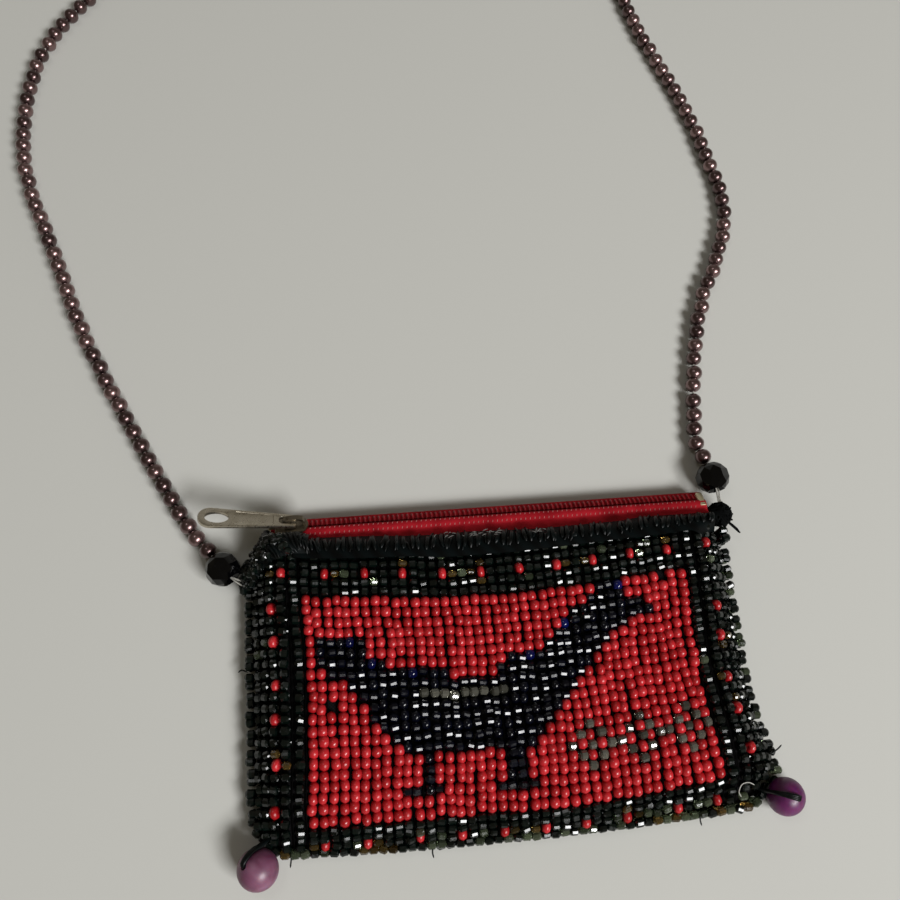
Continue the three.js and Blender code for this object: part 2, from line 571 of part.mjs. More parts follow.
// Corner beads: one past each lower corner, tied on by a loop of black thread
const cutMiddle = BOTTOM_CORNER_CUT / 2;
const corners = [
  ["left", -1, LEFT_CORNER_BEAD, LEFT_BEAD_SLIDE, mauveBead],
  ["right", 1, RIGHT_CORNER_BEAD, RIGHT_BEAD_SLIDE, purpleBead],
];
for (const [name, side, diameter, slide, material] of corners) {
  const outward = new THREE.Vector3(side, -1, 0).normalize();
  const along = new THREE.Vector3(-side, -1, 0).normalize();
  const corner = new THREE.Vector3(side * (halfWidth - cutMiddle), panelBottom + cutMiddle, 0);
  const centre = corner.clone().addScaledVector(outward, diameter / 2 + CORNER_BEAD_STANDOFF);
  centre.addScaledVector(along, slide).setZ(diameter / 2);
  const holeAxis = new THREE.Vector3(side, 0, 1);
  const ball = bead(roundProfile(diameter, CORNER_BEAD_BORE, 6), 12, holeAxis, centre);
  addPiece(purse, name + "_corner_bead", ball, material);
  const knotUp = corner.clone().sub(centre).setZ(diameter / 2).normalize();
  const knot = centre.clone().addScaledVector(knotUp, diameter / 2 + CORNER_THREAD / 2 + GAP);
  const seam = corner.clone().setZ(rimTop + GAP + CORNER_THREAD / 2);
  const middle = seam.clone().lerp(knot, 0.5);
  middle.z += CORNER_THREAD;
  const loop = strand([seam.toArray(), middle.toArray(), knot.toArray()], CORNER_THREAD, 6);
  addPiece(purse, name + "_corner_thread", loop, blackCloth);
}

// Strap: one strand of pearls on the floor, from the left end bead round to the right one.
// Its points run from the left bead up, over the top in one open arch, and down to the right bead.
const strap = new THREE.Group();
const pearlZ = PEARL_DIAMETER / 2 + STRAP_LIFT;
const beadZ = END_BEAD_DIAMETER / 2;
const LEFT_END = new THREE.Vector3(-62.2, 32.6, beadZ);
const RIGHT_END = new THREE.Vector3(56.8, 46.6, beadZ);
const STRAP_ROUTE = [
  [-64.7, 35.9, 3.4], [-67.1, 38.9, 2.5], [-70.8, 44.6, pearlZ], [-74.7, 51.2, pearlZ], [-80.1, 61.5, pearlZ],
  [-85.5, 72.2, pearlZ], [-90.9, 83.1, pearlZ], [-96, 94, pearlZ], [-100.3, 105.2, pearlZ],
  [-104.2, 116.7, pearlZ], [-108.4, 128.4, pearlZ], [-112.6, 140.1, pearlZ], [-115.3, 151, pearlZ],
  [-116, 163, pearlZ], [-115.2, 175, pearlZ], [-112.9, 186.4, pearlZ], [-108.3, 197, pearlZ],
  [-101.6, 206.5, pearlZ], [-87, 226, pearlZ], [-68, 247, pearlZ], [-42, 264, pearlZ], [-13, 271, pearlZ],
  [15, 265, pearlZ], [38, 249, pearlZ], [53, 226, pearlZ], [60.3, 203, pearlZ], [63.1, 190.5, pearlZ],
  [66.6, 179, pearlZ], [70.2, 167.6, pearlZ], [73, 156, pearlZ], [75, 144.5, pearlZ], [76.6, 132.8, pearlZ],
  [75.6, 121, pearlZ], [71, 109.6, pearlZ], [65.3, 98.8, pearlZ], [61.2, 87.5, pearlZ], [58.2, 76.2, pearlZ],
  [56.1, 64.3, pearlZ], [54.9, 56.5, 2.4], [56.3, 50.6, 3.4],
];
addPiece(strap, "strap_strand", strand(STRAP_ROUTE, PEARL_DIAMETER, 66), pearl);
const endProfile = facetedProfile(
  END_BEAD_DIAMETER, END_BEAD_LENGTH, END_BEAD_TABLE, END_BEAD_GIRDLE, END_BEAD_BORE,
);
const leftSewn = [-edgeX - EDGE_BEAD - GAP, sideHigh - BORDER_ROW_PITCH, EDGING_HIGH];
const rightSewn = [(knotLeft + knotRight) / 2, knotEnd + GAP, beadZ];
const ends = [
  ["left", LEFT_END, STRAP_ROUTE[0], new THREE.Vector3(...leftSewn)],
  ["right", RIGHT_END, STRAP_ROUTE.at(-1), new THREE.Vector3(...rightSewn)],
];
for (const [name, centre, neighbour, sewn] of ends) {
  const axis = new THREE.Vector3(...neighbour).sub(centre).setZ(0);
  addPiece(strap, name + "_end_bead", bead(endProfile, 10, axis, centre), blackGlass);
  const away = axis.clone().normalize().negate();
  const out = centre.clone().addScaledVector(away, END_BEAD_LENGTH / 2 + GAP);
  const halfway = out.clone().lerp(sewn, 0.5);
  const thread = strand([out, halfway, sewn].map((point) => point.toArray()), STRAP_THREAD, 4);
  addPiece(strap, name + "_strap_thread", thread, nylon);
}

// The whole part, with the middle of the purse's footprint at the origin
purse.updateMatrixWorld(true);
const footprint = new THREE.Box3().setFromObject(purse, true);
const middle = footprint.getCenter(new THREE.Vector3());
const part = new THREE.Group();
const placed = new THREE.Group();
placed.position.set(-middle.x, -middle.y, -footprint.min.z);
placed.add(purse, strap);
part.add(placed);

export default part;
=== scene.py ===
# Beaded coin purse with a zip mouth and a strap of small pearls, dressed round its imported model.
# Sizes are in millimetres, and places are measured from the middle of the red field. Both become metres
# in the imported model's frame when a mesh is made.
import math
import bmesh
import bpy
import numpy as np
from mathutils import Matrix, Vector


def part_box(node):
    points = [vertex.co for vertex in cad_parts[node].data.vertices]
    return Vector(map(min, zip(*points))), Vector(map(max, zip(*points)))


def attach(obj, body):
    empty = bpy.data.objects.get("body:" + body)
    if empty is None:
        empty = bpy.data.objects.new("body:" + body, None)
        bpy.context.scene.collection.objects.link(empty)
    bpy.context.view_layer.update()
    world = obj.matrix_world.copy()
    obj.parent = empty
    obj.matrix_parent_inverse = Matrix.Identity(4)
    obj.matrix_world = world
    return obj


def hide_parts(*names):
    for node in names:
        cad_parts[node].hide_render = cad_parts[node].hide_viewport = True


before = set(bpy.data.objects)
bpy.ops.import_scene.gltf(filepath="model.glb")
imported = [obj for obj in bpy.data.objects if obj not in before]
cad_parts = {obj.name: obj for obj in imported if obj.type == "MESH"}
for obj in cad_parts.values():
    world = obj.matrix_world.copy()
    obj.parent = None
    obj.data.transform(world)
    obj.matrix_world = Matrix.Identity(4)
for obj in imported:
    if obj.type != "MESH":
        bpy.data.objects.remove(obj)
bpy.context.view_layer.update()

# Where the purse lies
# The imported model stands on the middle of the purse's footprint. The edging beads along the two sides
# are the same on the left and the right and end at a known height, so they give the field's middle.
MM = 0.001
EDGING_TOP = 29.02  # field's middle to the upper end of the side edging
left_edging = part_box("left_edge_beads")
right_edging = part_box("right_edge_beads")
FIELD_MIDDLE = np.array((
    (left_edging[0].x + right_edging[1].x) / 2,
    left_edging[1].y - EDGING_TOP * MM,
    0.0,
))


def in_frame(points):
    """Points in millimetres from the field's middle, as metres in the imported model's frame."""
    return np.asarray(points, float) * MM + FIELD_MIDDLE


# Camera
# The camera stands over the lower left quarter of the purse and looks down towards the strap, with the
# picture turned by ten degrees. The lens takes in 53 degrees, as a short lens on a small camera does.
CAMERA_AT = (-27.93, -18.32, 209.79)
CAMERA_AIM = (-7.01, 59.69, 0.0)
CAMERA_ROLL = math.radians(10.43)
LENS_AND_SENSOR = 36.0  # a lens as long as the sensor is wide
NEAREST = 0.01  # metres from the lens

camera_data = bpy.data.cameras.new("camera")
camera_data.lens = LENS_AND_SENSOR
camera_data.sensor_width = LENS_AND_SENSOR
camera_data.clip_start = NEAREST
camera = bpy.data.objects.new("camera", camera_data)
bpy.context.collection.objects.link(camera)
eye, aim = (Vector(point) for point in in_frame((CAMERA_AT, CAMERA_AIM)))
ahead = (aim - eye).normalized()
level = ahead.cross(Vector((0, 0, 1))).normalized()
upright = level.cross(ahead)
turn = Matrix.Rotation(CAMERA_ROLL, 3, -ahead)
facing = Matrix((turn @ level, turn @ upright, -ahead)).transposed()
camera.matrix_world = Matrix.Translation(eye) @ facing.to_4x4()
bpy.context.scene.camera = camera


# Strap of pearls
# One strand of 4 mm glass pearls with a brown-mauve pearl coat on clear nylon thread. It leaves the left
# end bead, lies on the table in one long open arch and comes back to the right end bead.
PEARL = 3.96
PEARL_PITCH = 4.0
STRAND_THREAD = 0.5
PEARL_SIDES = 14
PEARL_RINGS = 9
PEARL_WIDTHS = (1.02, 1.055)  # least and most, as shares of a pearl's size
PEARL_LENGTHS = (0.95, 1.0)
PEARL_STRAY = 0.12  # how far a pearl sits off the line
PEARL_LEAN = 0.1
ON_TABLE = 2.1  # height of a pearl's middle
LEFT_LEAD = ((-64.7, 35.9, 3.4), (-67.1, 38.9, 2.5))  # from the left end bead down to the table
ARCH = (  # along the table
    (-70.8, 44.6), (-74.7, 51.2), (-80.1, 61.5), (-85.5, 72.2), (-90.9, 83.1), (-96, 94), (-100.3, 105.2),
    (-104.2, 116.7), (-108.4, 128.4), (-112.6, 140.1), (-115.3, 151), (-116, 163), (-115.2, 175),
    (-112.9, 186.4), (-108.3, 197), (-101.6, 206.5), (-87, 226), (-68, 247), (-42, 264), (-13, 271),
    (15, 265), (38, 249), (53, 226), (60.3, 203), (63.1, 190.5), (66.6, 179), (70.2, 167.6), (73, 156),
    (75, 144.5), (76.6, 132.8), (75.6, 121), (71, 109.6), (65.3, 98.8), (61.2, 87.5), (58.2, 76.2),
    (56.1, 64.3),
)
RIGHT_LEAD = ((54.9, 56.5, 2.4), (56.3, 50.6, 3.4))  # and up to the right one
strap_route = (*LEFT_LEAD, *((x, y, ON_TABLE) for x, y in ARCH), *RIGHT_LEAD)


def unit(vector):
    return np.asarray(vector, float) / np.linalg.norm(vector)


def smooth_line(points, pitch):
    """Points at an even pitch along the centripetal Catmull-Rom curve through the given ones."""
    steps = 24  # between two given points
    points = np.array(points, float)
    points = np.vstack((2 * points[0] - points[1], points, 2 * points[-1] - points[-2]))
    dense = []
    for a, b, c, d in zip(points, points[1:], points[2:], points[3:]):
        knots = np.cumsum([0.0] + [np.linalg.norm(q - p) ** 0.5 for p, q in ((a, b), (b, c), (c, d))])
        for t in np.linspace(knots[1], knots[2], steps, endpoint=False):
            level_one = [
                ((knots[i + 1] - t) * p + (t - knots[i]) * q) / (knots[i + 1] - knots[i])
                for i, (p, q) in enumerate(((a, b), (b, c), (c, d)))
            ]
            level_two = [
                ((knots[i + 2] - t) * p + (t - knots[i]) * q) / (knots[i + 2] - knots[i])
                for i, (p, q) in enumerate(zip(level_one, level_one[1:]))
            ]
            p, q = level_two
            dense.append(((knots[2] - t) * p + (t - knots[1]) * q) / (knots[2] - knots[1]))
    dense = np.array(dense + [points[-2]])
    travelled = np.concatenate(([0.0], np.cumsum(np.linalg.norm(np.diff(dense, axis=0), axis=1))))
    places = np.linspace(0, travelled[-1], max(2, round(travelled[-1] / pitch) + 1))
    return np.stack([np.interp(places, travelled, dense[:, i]) for i in range(3)], axis=1)


def select_only(piece):
    bpy.ops.object.select_all(action="DESELECT")
    piece.select_set(True)
    bpy.context.view_layer.objects.active = piece


def linear(hex_colour):
    """An sRGB hex colour as the linear red, green, blue and alpha of a shader's socket."""
    shares = [int(hex_colour[i:i + 2], 16) / 255 for i in (1, 3, 5)]
    return [s / 12.92 if s <= 0.04045 else ((s + 0.055) / 1.055) ** 2.4 for s in shares] + [1.0]


def new_material(name):
    material = bpy.data.materials.new(name)
    material.use_nodes = True
    material.node_tree.nodes.clear()
    return material


def node(material, kind, inputs, **settings):
    """Adds a node with its settings; each input is a value, or another node's output to link."""
    added = material.node_tree.nodes.new(kind)
    for name, value in settings.items():
        setattr(added, name, value)
    for name, value in inputs.items():
        if isinstance(value, bpy.types.NodeSocket):
            material.node_tree.links.new(value, added.inputs[name])
        else:
            added.inputs[name].default_value = value
    return added


def pearl_coat():
    """Pearl lacquer on glass: a dark metallic body under a clear coat, each pearl a shade of its own."""
    material = new_material("brown_mauve_pearl_coat")
    shade = node(material, "ShaderNodeAttribute", {}, attribute_name="shade")
    colour = node(material, "ShaderNodeMix", {
        0: shade.outputs["Fac"], 6: linear("#4f3b3b"), 7: linear("#866b6a"),
    }, data_type="RGBA")
    shader = node(material, "ShaderNodeBsdfPrincipled", {
        "Base Color": colour.outputs[2], "Metallic": 0.88, "Roughness": 0.29, "IOR": 1.5,
        "Coat Weight": 0.6, "Coat Roughness": 0.08,
    })
    node(material, "ShaderNodeOutputMaterial", {"Surface": shader.outputs[0]})
    return material


def clear_nylon():
    """Clear nylon thread: whitish where it is bundled, with a soft gloss."""
    material = new_material("clear_nylon")
    shader = node(material, "ShaderNodeBsdfPrincipled", {
        "Base Color": linear("#d4d2cb"), "Roughness": 0.3, "IOR": 1.53, "Transmission Weight": 0.35,
    })
    node(material, "ShaderNodeOutputMaterial", {"Surface": shader.outputs[0]})
    return material


def seat(middle, along, out, sizes=(1, 1, 1), lean=0.0, roll=0.0, shade=0.5):
    """Where one bead goes: its axes as columns of a matrix, its middle and its shade.

    The bead's hole lies along one direction, leant about the outward one and rolled about itself.
    """
    along = unit(along)
    across = unit(np.cross(out, along))
    axes = np.stack((along, across, np.cross(along, across)), axis=1)
    lean_turn = np.array(Matrix.Rotation(lean, 3, "Z"))
    roll_turn = np.array(Matrix.Rotation(roll, 3, "X"))
    return axes @ lean_turn @ roll_turn @ np.diag(sizes), np.asarray(middle, float), shade


def string_beads(name, bead, seats, material):
    """Copies one modelled bead to every seat, as one mesh that rides on the purse."""
    shape = np.array([vertex.co for vertex in bead.data.vertices])
    faces = [tuple(face.vertices) for face in bead.data.polygons]
    smooth = [face.use_smooth for face in bead.data.polygons]
    spots = np.concatenate([shape @ axes.T + in_frame(middle) for axes, middle, _ in seats])
    copies = [
        tuple(index + copy * len(shape) for index in face)
        for copy in range(len(seats)) for face in faces
    ]
    mesh = bpy.data.meshes.new(name)
    mesh.from_pydata(spots.tolist(), [], copies)
    mesh.polygons.foreach_set("use_smooth", smooth * len(seats))
    shades = mesh.attributes.new("shade", "FLOAT", "POINT")
    shades.data.foreach_set("value", np.repeat([shade for _, _, shade in seats], len(shape)))
    mesh.materials.append(material)
    piece = bpy.data.objects.new(name, mesh)
    bpy.context.collection.objects.link(piece)
    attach(piece, "purse")
    return piece


def threads(name, lines, diameter, material, taper=1.0):
    """Round threads along lines of points, as one mesh; a taper under 1 thins their two ends."""
    curve = bpy.data.curves.new(name, "CURVE")
    curve.dimensions = "3D"
    curve.bevel_depth = diameter / 2 * MM
    curve.bevel_resolution = 1
    curve.use_fill_caps = True
    for line in lines:
        spline = curve.splines.new("POLY")
        spline.points.add(len(line) - 1)
        for point, spot in zip(spline.points, in_frame(line)):
            point.co = (*spot, 1)
        spline.points[0].radius = taper
        spline.points[-1].radius = taper
    piece = bpy.data.objects.new(name, curve)
    bpy.context.collection.objects.link(piece)
    select_only(piece)
    bpy.ops.object.convert(target="MESH")
    bpy.ops.object.shade_smooth()
    piece.data.materials.append(material)
    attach(piece, "purse")
    return piece


chance = np.random.default_rng(11)
strand = smooth_line(strap_route, 1.0)
strand_length = np.linalg.norm(np.diff(strand, axis=0), axis=1).sum()
pearl_count = int(strand_length / PEARL_PITCH)
pearl_spots = smooth_line(strap_route, strand_length / (2 * pearl_count))[1::2]
bpy.ops.object.select_all(action="DESELECT")
bpy.ops.mesh.primitive_uv_sphere_add(segments=PEARL_SIDES, ring_count=PEARL_RINGS, radius=PEARL / 2 * MM)
pearl = bpy.context.object
pearl.data.transform(Matrix.Rotation(math.pi / 2, 4, "Y"))
bpy.ops.object.shade_smooth()
pearl_seats = []
for i, spot in enumerate(pearl_spots):
    before = pearl_spots[max(i - 1, 0)]
    after = pearl_spots[min(i + 1, len(pearl_spots) - 1)]
    wide = chance.uniform(*PEARL_WIDTHS)
    stray = chance.normal(0, PEARL_STRAY, 3) * (1, 1, 0)
    pearl_seats.append(seat(
        spot + stray, after - before, (0, 0, 1), (chance.uniform(*PEARL_LENGTHS), wide, wide),
        lean=chance.normal(0, PEARL_LEAN), roll=chance.uniform(0, 3), shade=chance.uniform(0, 1),
    ))
nylon = clear_nylon()
strap = string_beads("strap_pearls", pearl, pearl_seats, pearl_coat())
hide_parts("strap_strand")
bpy.data.objects.remove(pearl)
strap_thread = threads("strap_nylon", [strand[::2]], STRAND_THREAD, nylon)


# End beads of the strap
# A black pressed-glass bead at each end of the strand, cut with rows of flat facets and polished. The
# nylon runs through its hole and is sewn to the corner of the purse with a few turns.
END_BEAD = 8.0
END_BEAD_LENGTH = 6.6
END_BEAD_TABLE = 4.6
END_BEAD_HOLE = 1.1
END_BEAD_SIDES = 9
GIRDLE_LENGTH = 0.3  # share of the bead's length
SHOULDER_AT = 0.35  # the ring between girdle and table: share of the length from the middle,
SHOULDER = 0.84  # and of the girdle's width
HOLE_FLOOR = 0.5  # share of the half length at which the sunk hole ends
END_BEAD_RISE = 4.0  # middle above the table
TIE_THREAD = 0.32
TIE_TURNS = 5
TIE_SWING = 0.5
TIE_FROM = 0.35  # inside the hole, as a share of the bead's length
LEFT_END = np.array((-62.2, 32.6, END_BEAD_RISE))
RIGHT_END = np.array((56.8, 46.6, END_BEAD_RISE))
LEFT_SEWN = np.array((-56.6, 28.4, 4.2))
RIGHT_SEWN = np.array((56.4, 39.0, 5.6))


def pick_faces(piece, wanted):
    """In edit mode, selects just the faces whose middle and normal the test wants."""
    bpy.ops.mesh.select_mode(type="FACE")
    bpy.ops.mesh.select_all(action="DESELECT")
    shape = bmesh.from_edit_mesh(piece.data)
    for face in shape.faces:
        face.select_set(wanted(face.calc_center_median(), face.normal))
    bmesh.update_edit_mesh(piece.data)


def is_end(middle, normal):
    return abs(normal.x) > 0.99


def turn_outwards():
    """In edit mode, turns all faces outwards, then goes back to object mode."""
    bpy.ops.mesh.select_all(action="SELECT")
    bpy.ops.mesh.normals_make_consistent(inside=False)
    bpy.ops.object.mode_set(mode="OBJECT")


def polished_black_glass():
    """Black glass, fire polished: a deep black body, so all that shows is what its facets mirror."""
    material = new_material("polished_black_glass")
    place = node(material, "ShaderNodeTexCoord", {}).outputs["Object"]
    rubs_per_mm = 0.9
    rub = node(material, "ShaderNodeTexNoise", {
        "Vector": place, "Scale": rubs_per_mm / MM, "Detail": 3.0,
    })
    rough = node(material, "ShaderNodeMapRange", {
        "Value": rub.outputs["Fac"], "From Min": 0.35, "From Max": 0.75, "To Min": 0.03, "To Max": 0.12,
    })
    shader = node(material, "ShaderNodeBsdfPrincipled", {
        "Base Color": linear("#030304"), "Roughness": rough.outputs[0], "IOR": 1.4,
    })
    node(material, "ShaderNodeOutputMaterial", {"Surface": shader.outputs[0]})
    return material


def end_bead(name, middle, towards, roll, material):
    """A cut bead: a nine-sided girdle, rings of facets turned by half a side, and a table at each end."""
    bpy.ops.object.select_all(action="DESELECT")
    bpy.ops.mesh.primitive_cylinder_add(
        vertices=END_BEAD_SIDES, radius=END_BEAD / 2 * MM, depth=END_BEAD_LENGTH * GIRDLE_LENGTH * MM,
        rotation=(0, math.pi / 2, 0),
    )
    bead = bpy.context.object
    bead.name = name
    bpy.ops.object.transform_apply(location=False, rotation=True, scale=False)
    bpy.ops.object.mode_set(mode="EDIT")
    half_side = Matrix.Rotation(math.pi / END_BEAD_SIDES, 3, "X")
    for side in (-1, 1):
        for reach, width in ((SHOULDER_AT, SHOULDER), (0.5, END_BEAD_TABLE / END_BEAD / SHOULDER)):
            pick_faces(bead, lambda middle, normal: normal.x * side > 0.99)
            bpy.ops.mesh.extrude_region_move()
            shape = bmesh.from_edit_mesh(bead.data)
            for vertex in (v for v in shape.verts if v.select):
                vertex.co = half_side @ Vector((0, vertex.co.y * width, vertex.co.z * width))
                vertex.co.x = side * reach * END_BEAD_LENGTH * MM
            bmesh.update_edit_mesh(bead.data)
    outermost = END_BEAD_LENGTH * 0.45 * MM
    pick_faces(bead, lambda middle, normal: is_end(middle, normal) and abs(middle.x) > outermost)
    bpy.ops.mesh.inset(thickness=(END_BEAD_TABLE - END_BEAD_HOLE) / 2 * MM, use_individual=True)
    bpy.ops.transform.resize(value=(HOLE_FLOOR, 1, 1), center_override=(0, 0, 0))
    bpy.ops.mesh.select_all(action="SELECT")
    bpy.ops.mesh.quads_convert_to_tris()
    turn_outwards()
    bpy.ops.object.shade_flat()
    axes, _, _ = seat(middle, towards - middle, (0, 0, 1), roll=roll)
    bead.data.transform(Matrix.Translation(in_frame(middle)) @ Matrix(axes.tolist()).to_4x4())
    bead.data.materials.append(material)
    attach(bead, "purse")
    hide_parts(name.replace("_glass", "_bead"))
    return bead


black_glass = polished_black_glass()
for name, middle, neighbour, sewn, roll in (
    ("left", LEFT_END, strand[0], LEFT_SEWN, 0.6), ("right", RIGHT_END, strand[-1], RIGHT_SEWN, 0.46),
):
    flat_neighbour = np.array((*neighbour[:2], END_BEAD_RISE))
    end_bead(name + "_end_glass", middle, flat_neighbour, roll, black_glass)
    away = unit(middle - flat_neighbour)
    hole = middle + away * END_BEAD_LENGTH * TIE_FROM
    turns = []
    for i in range(TIE_TURNS):
        swing = chance.normal(0, TIE_SWING, 3)
        turns.append(smooth_line((hole, (hole + sewn) / 2 + swing, sewn + swing * (1.2, 1.2, 0.4)), 0.5))
    ties = threads(name + "_strap_ties", turns, TIE_THREAD, nylon)
    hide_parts(name + "_strap_thread")


# Loomed fabric of the front
# The beads lie in rows on the weft, between warp threads that run up the purse. The purse is highest along
# its middle, falls to a thin rim at three sides, and its rows sag towards the middle.
COLUMN_PITCH = 2.235
FIELD_ROW_PITCH = 2.24
BORDER_ROW_PITCH = 1.8
FIELD_COLUMNS = 40
FIELD_ROWS = 21
SIDE_COLUMNS = 5
TOP_ROWS = 5
BOTTOM_ROWS = 3
BOTTOM_BORDER = 4.6
TOP_CORNER_CUT = 3.5
BOTTOM_CORNER_CUT = 5.0
TOP_CUT_ROOM = 0.4  # from a cut to the nearest bead's middle
BOTTOM_CUT_ROOM = 0.6
RIM_TOP = 4.7
CROWN = 11.2
SIDE_SLOPE = 8.0
BOTTOM_SLOPE = 20.0
SAG_BOTTOM = 1.5
SAG_FIELD_TOP = 2.7
SAG_MOUTH = 1.0
PULLED_FROM = 12.0  # right of the middle, where the pull at the right side begins
RIGHT_SIDE = (  # height on the right side, and how far the side is pulled out there
    (-28.1, 0.2), (-22.8, 1.8), (-16.7, 0.8), (-9.9, -0.7), (-1.3, -1.4), (8.9, -0.9), (19.7, -0.8),
    (31.3, 0.0),
)
DRIFT_TOP = (  # place along the field's upper edge, and how far up the beads have worked there
    (-52, 1.8), (-39, 1.1), (-30, 0.8), (-21, 0.6), (-12, 0.0), (6, 0.0), (18, 0.3), (32, 0.7),
    (41, 0.9), (52, 1.2),
)
DRIFT_BOTTOM = (
    (-44, -0.6), (-32, -0.5), (-20, 0.0), (-8, 0.0), (5, -0.5), (20, -0.2), (30, 0.4), (38, 0.8), (44, 1.4),
)
DRIFT_LEFT = ((-20, -0.1), (-11, 0.7), (-2, 0.8), (5, 1.0), (13, 1.0), (20, 0.3))
DRIFT_RIGHT = (
    (-24, -0.8), (-18, -1.1), (-7, -0.9), (0, -1.4), (7, -1.6), (13, -1.3), (20, -0.9), (28, -1.4),
)
SIDE_HOLD = 4.5  # width of the rim in which the drift dies out, at the sides and at the bottom
BOTTOM_HOLD = 4.0
BOTTOM_DRIFT = 0.4  # share of the drift that is left at the bottom
field_x = FIELD_COLUMNS * COLUMN_PITCH / 2
field_y = FIELD_ROWS * FIELD_ROW_PITCH / 2
half_width = field_x + SIDE_COLUMNS * COLUMN_PITCH
panel_top = field_y + TOP_ROWS * BORDER_ROW_PITCH
panel_bottom = -field_y - BOTTOM_BORDER


def share(value, low, high):
    return min(max((value - low) / (high - low), 0.0), 1.0)


def sag(x, y):
    """How far a bead row hangs below its ends."""
    in_field = SAG_BOTTOM + (SAG_FIELD_TOP - SAG_BOTTOM) * share(y, panel_bottom, field_y)
    depth = in_field + (SAG_MOUTH - in_field) * share(y, field_y, panel_top)
    return depth * (1 - (x / half_width) ** 2)


def from_table(table, place):
    places, values = zip(*table)
    return float(np.interp(place, places, values))


def rim_pull(x, y):
    """How far the fabric's right half is pulled sideways."""
    return share(x, PULLED_FROM, half_width) * from_table(RIGHT_SIDE, y)


def drift(x, y):
    """How far a bead has worked away from the even grid; the rim holds its place."""
    rightward = share(x, -field_x, field_x)
    upward = share(y, -field_y, field_y)
    sideways = from_table(DRIFT_LEFT, y) * (1 - rightward) + from_table(DRIFT_RIGHT, y) * rightward
    lift = from_table(DRIFT_BOTTOM, x) * (1 - upward) + from_table(DRIFT_TOP, x) * upward
    free = BOTTOM_DRIFT + (1 - BOTTOM_DRIFT) * share(y - panel_bottom, 0, BOTTOM_HOLD)
    return sideways * share(half_width - abs(x), 0, SIDE_HOLD), lift * free


def crest(x, y):
    """The top of the beads at a column and row of the even, unsagged fabric."""
    sideways, lift = drift(x, y)
    at_x, at_y = x + sideways, y + lift
    side = math.sin(share(half_width - abs(at_x), 0, SIDE_SLOPE) * math.pi / 2)
    bottom = math.sin(share(at_y - panel_bottom, 0, BOTTOM_SLOPE) * math.pi / 2)
    height = RIM_TOP + (CROWN - RIM_TOP) * side * bottom
    return np.array((at_x + rim_pull(x, y), at_y - sag(at_x, at_y), height))


def fabric_axes(x, y):
    """Along the bead row and out of the fabric, at a place on the front."""
    step = 0.1
    along = crest(min(x + step, half_width), y) - crest(max(x - step, -half_width), y)
    up = crest(x, y + step) - crest(x, y - step)
    return unit(along), unit(np.cross(along, up))


def model_bead(diameter, length, hole, sides, rounding, segments):
    """A seed bead along X: a cut of glass tube, its rims rounded, with a sunk hole in each end."""
    sunk = 0.7  # share of the half length at which the hole ends
    bpy.ops.object.select_all(action="DESELECT")
    bpy.ops.mesh.primitive_cylinder_add(
        vertices=sides, radius=diameter / 2 * MM, depth=length * MM, rotation=(0, math.pi / 2, 0),
    )
    bead = bpy.context.object
    bpy.ops.object.transform_apply(location=False, rotation=True, scale=False)
    bpy.ops.object.mode_set(mode="EDIT")
    pick_faces(bead, is_end)
    bpy.ops.mesh.bevel(offset=rounding * MM, segments=segments, affect="EDGES", profile=0.5)
    pick_faces(bead, is_end)
    bpy.ops.mesh.inset(thickness=(diameter / 2 - rounding - hole / 2) * MM, use_individual=True)
    bpy.ops.transform.resize(value=(sunk, 1, 1), center_override=(0, 0, 0))
    bpy.ops.object.mode_set(mode="OBJECT")
    return bead


def bead_glass(name, dark, light, roughness, clear=0.0, bend=1.52):
    """Bead glass: smooth and glossy, opaque or clear, each bead a shade of its own and slightly clouded."""
    material = new_material(name)
    shade = node(material, "ShaderNodeAttribute", {}, attribute_name="shade")
    colour = node(material, "ShaderNodeMix", {
        0: shade.outputs["Fac"], 6: linear(dark), 7: linear(light),
    }, data_type="RGBA")
    place = node(material, "ShaderNodeTexCoord", {}).outputs["Object"]
    clouds_per_mm = 1.4
    cloud = node(material, "ShaderNodeTexNoise", {
        "Vector": place, "Scale": clouds_per_mm / MM, "Detail": 2.0,
    })
    rough = node(material, "ShaderNodeMapRange", {
        "Value": cloud.outputs["Fac"], "From Min": 0.3, "From Max": 0.7,
        "To Min": roughness * 0.7, "To Max": roughness * 1.3,
    })
    shader = node(material, "ShaderNodeBsdfPrincipled", {
        "Base Color": colour.outputs[2], "Roughness": rough.outputs[0], "IOR": bend,
        "Transmission Weight": clear,
    })
    node(material, "ShaderNodeOutputMaterial", {"Surface": shader.outputs[0]})
    return material


# Columns are spaced evenly along the fabric, so they stand closer together where a side slopes away.
slope_x = np.linspace(field_x, half_width, 200)
slope_run = np.cumsum([0.0] + [
    np.linalg.norm(crest(b, 0) - crest(a, 0)) for a, b in zip(slope_x, slope_x[1:])
])
side_pitch = slope_run[-1] / SIDE_COLUMNS
side_x = [float(np.interp((k + 0.5) * side_pitch, slope_run, slope_x)) for k in range(SIDE_COLUMNS)]
column_x = [-x for x in side_x[::-1]]
column_x += [(i + 0.5) * COLUMN_PITCH - field_x for i in range(FIELD_COLUMNS)]
column_x += side_x
bottom_pitch = BOTTOM_BORDER / BOTTOM_ROWS
row_y = [panel_bottom + (j + 0.5) * bottom_pitch for j in range(BOTTOM_ROWS)]
row_y += [(j + 0.5) * FIELD_ROW_PITCH - field_y for j in range(FIELD_ROWS)]
row_y += [field_y + (j + 0.5) * BORDER_ROW_PITCH for j in range(TOP_ROWS)]


def in_fabric(x, y):
    """True inside the cut corners."""
    from_side = half_width - abs(x)
    above_cut = from_side + y - panel_bottom > BOTTOM_CORNER_CUT + BOTTOM_CUT_ROOM
    return above_cut and from_side + panel_top - y > TOP_CORNER_CUT + TOP_CUT_ROOM


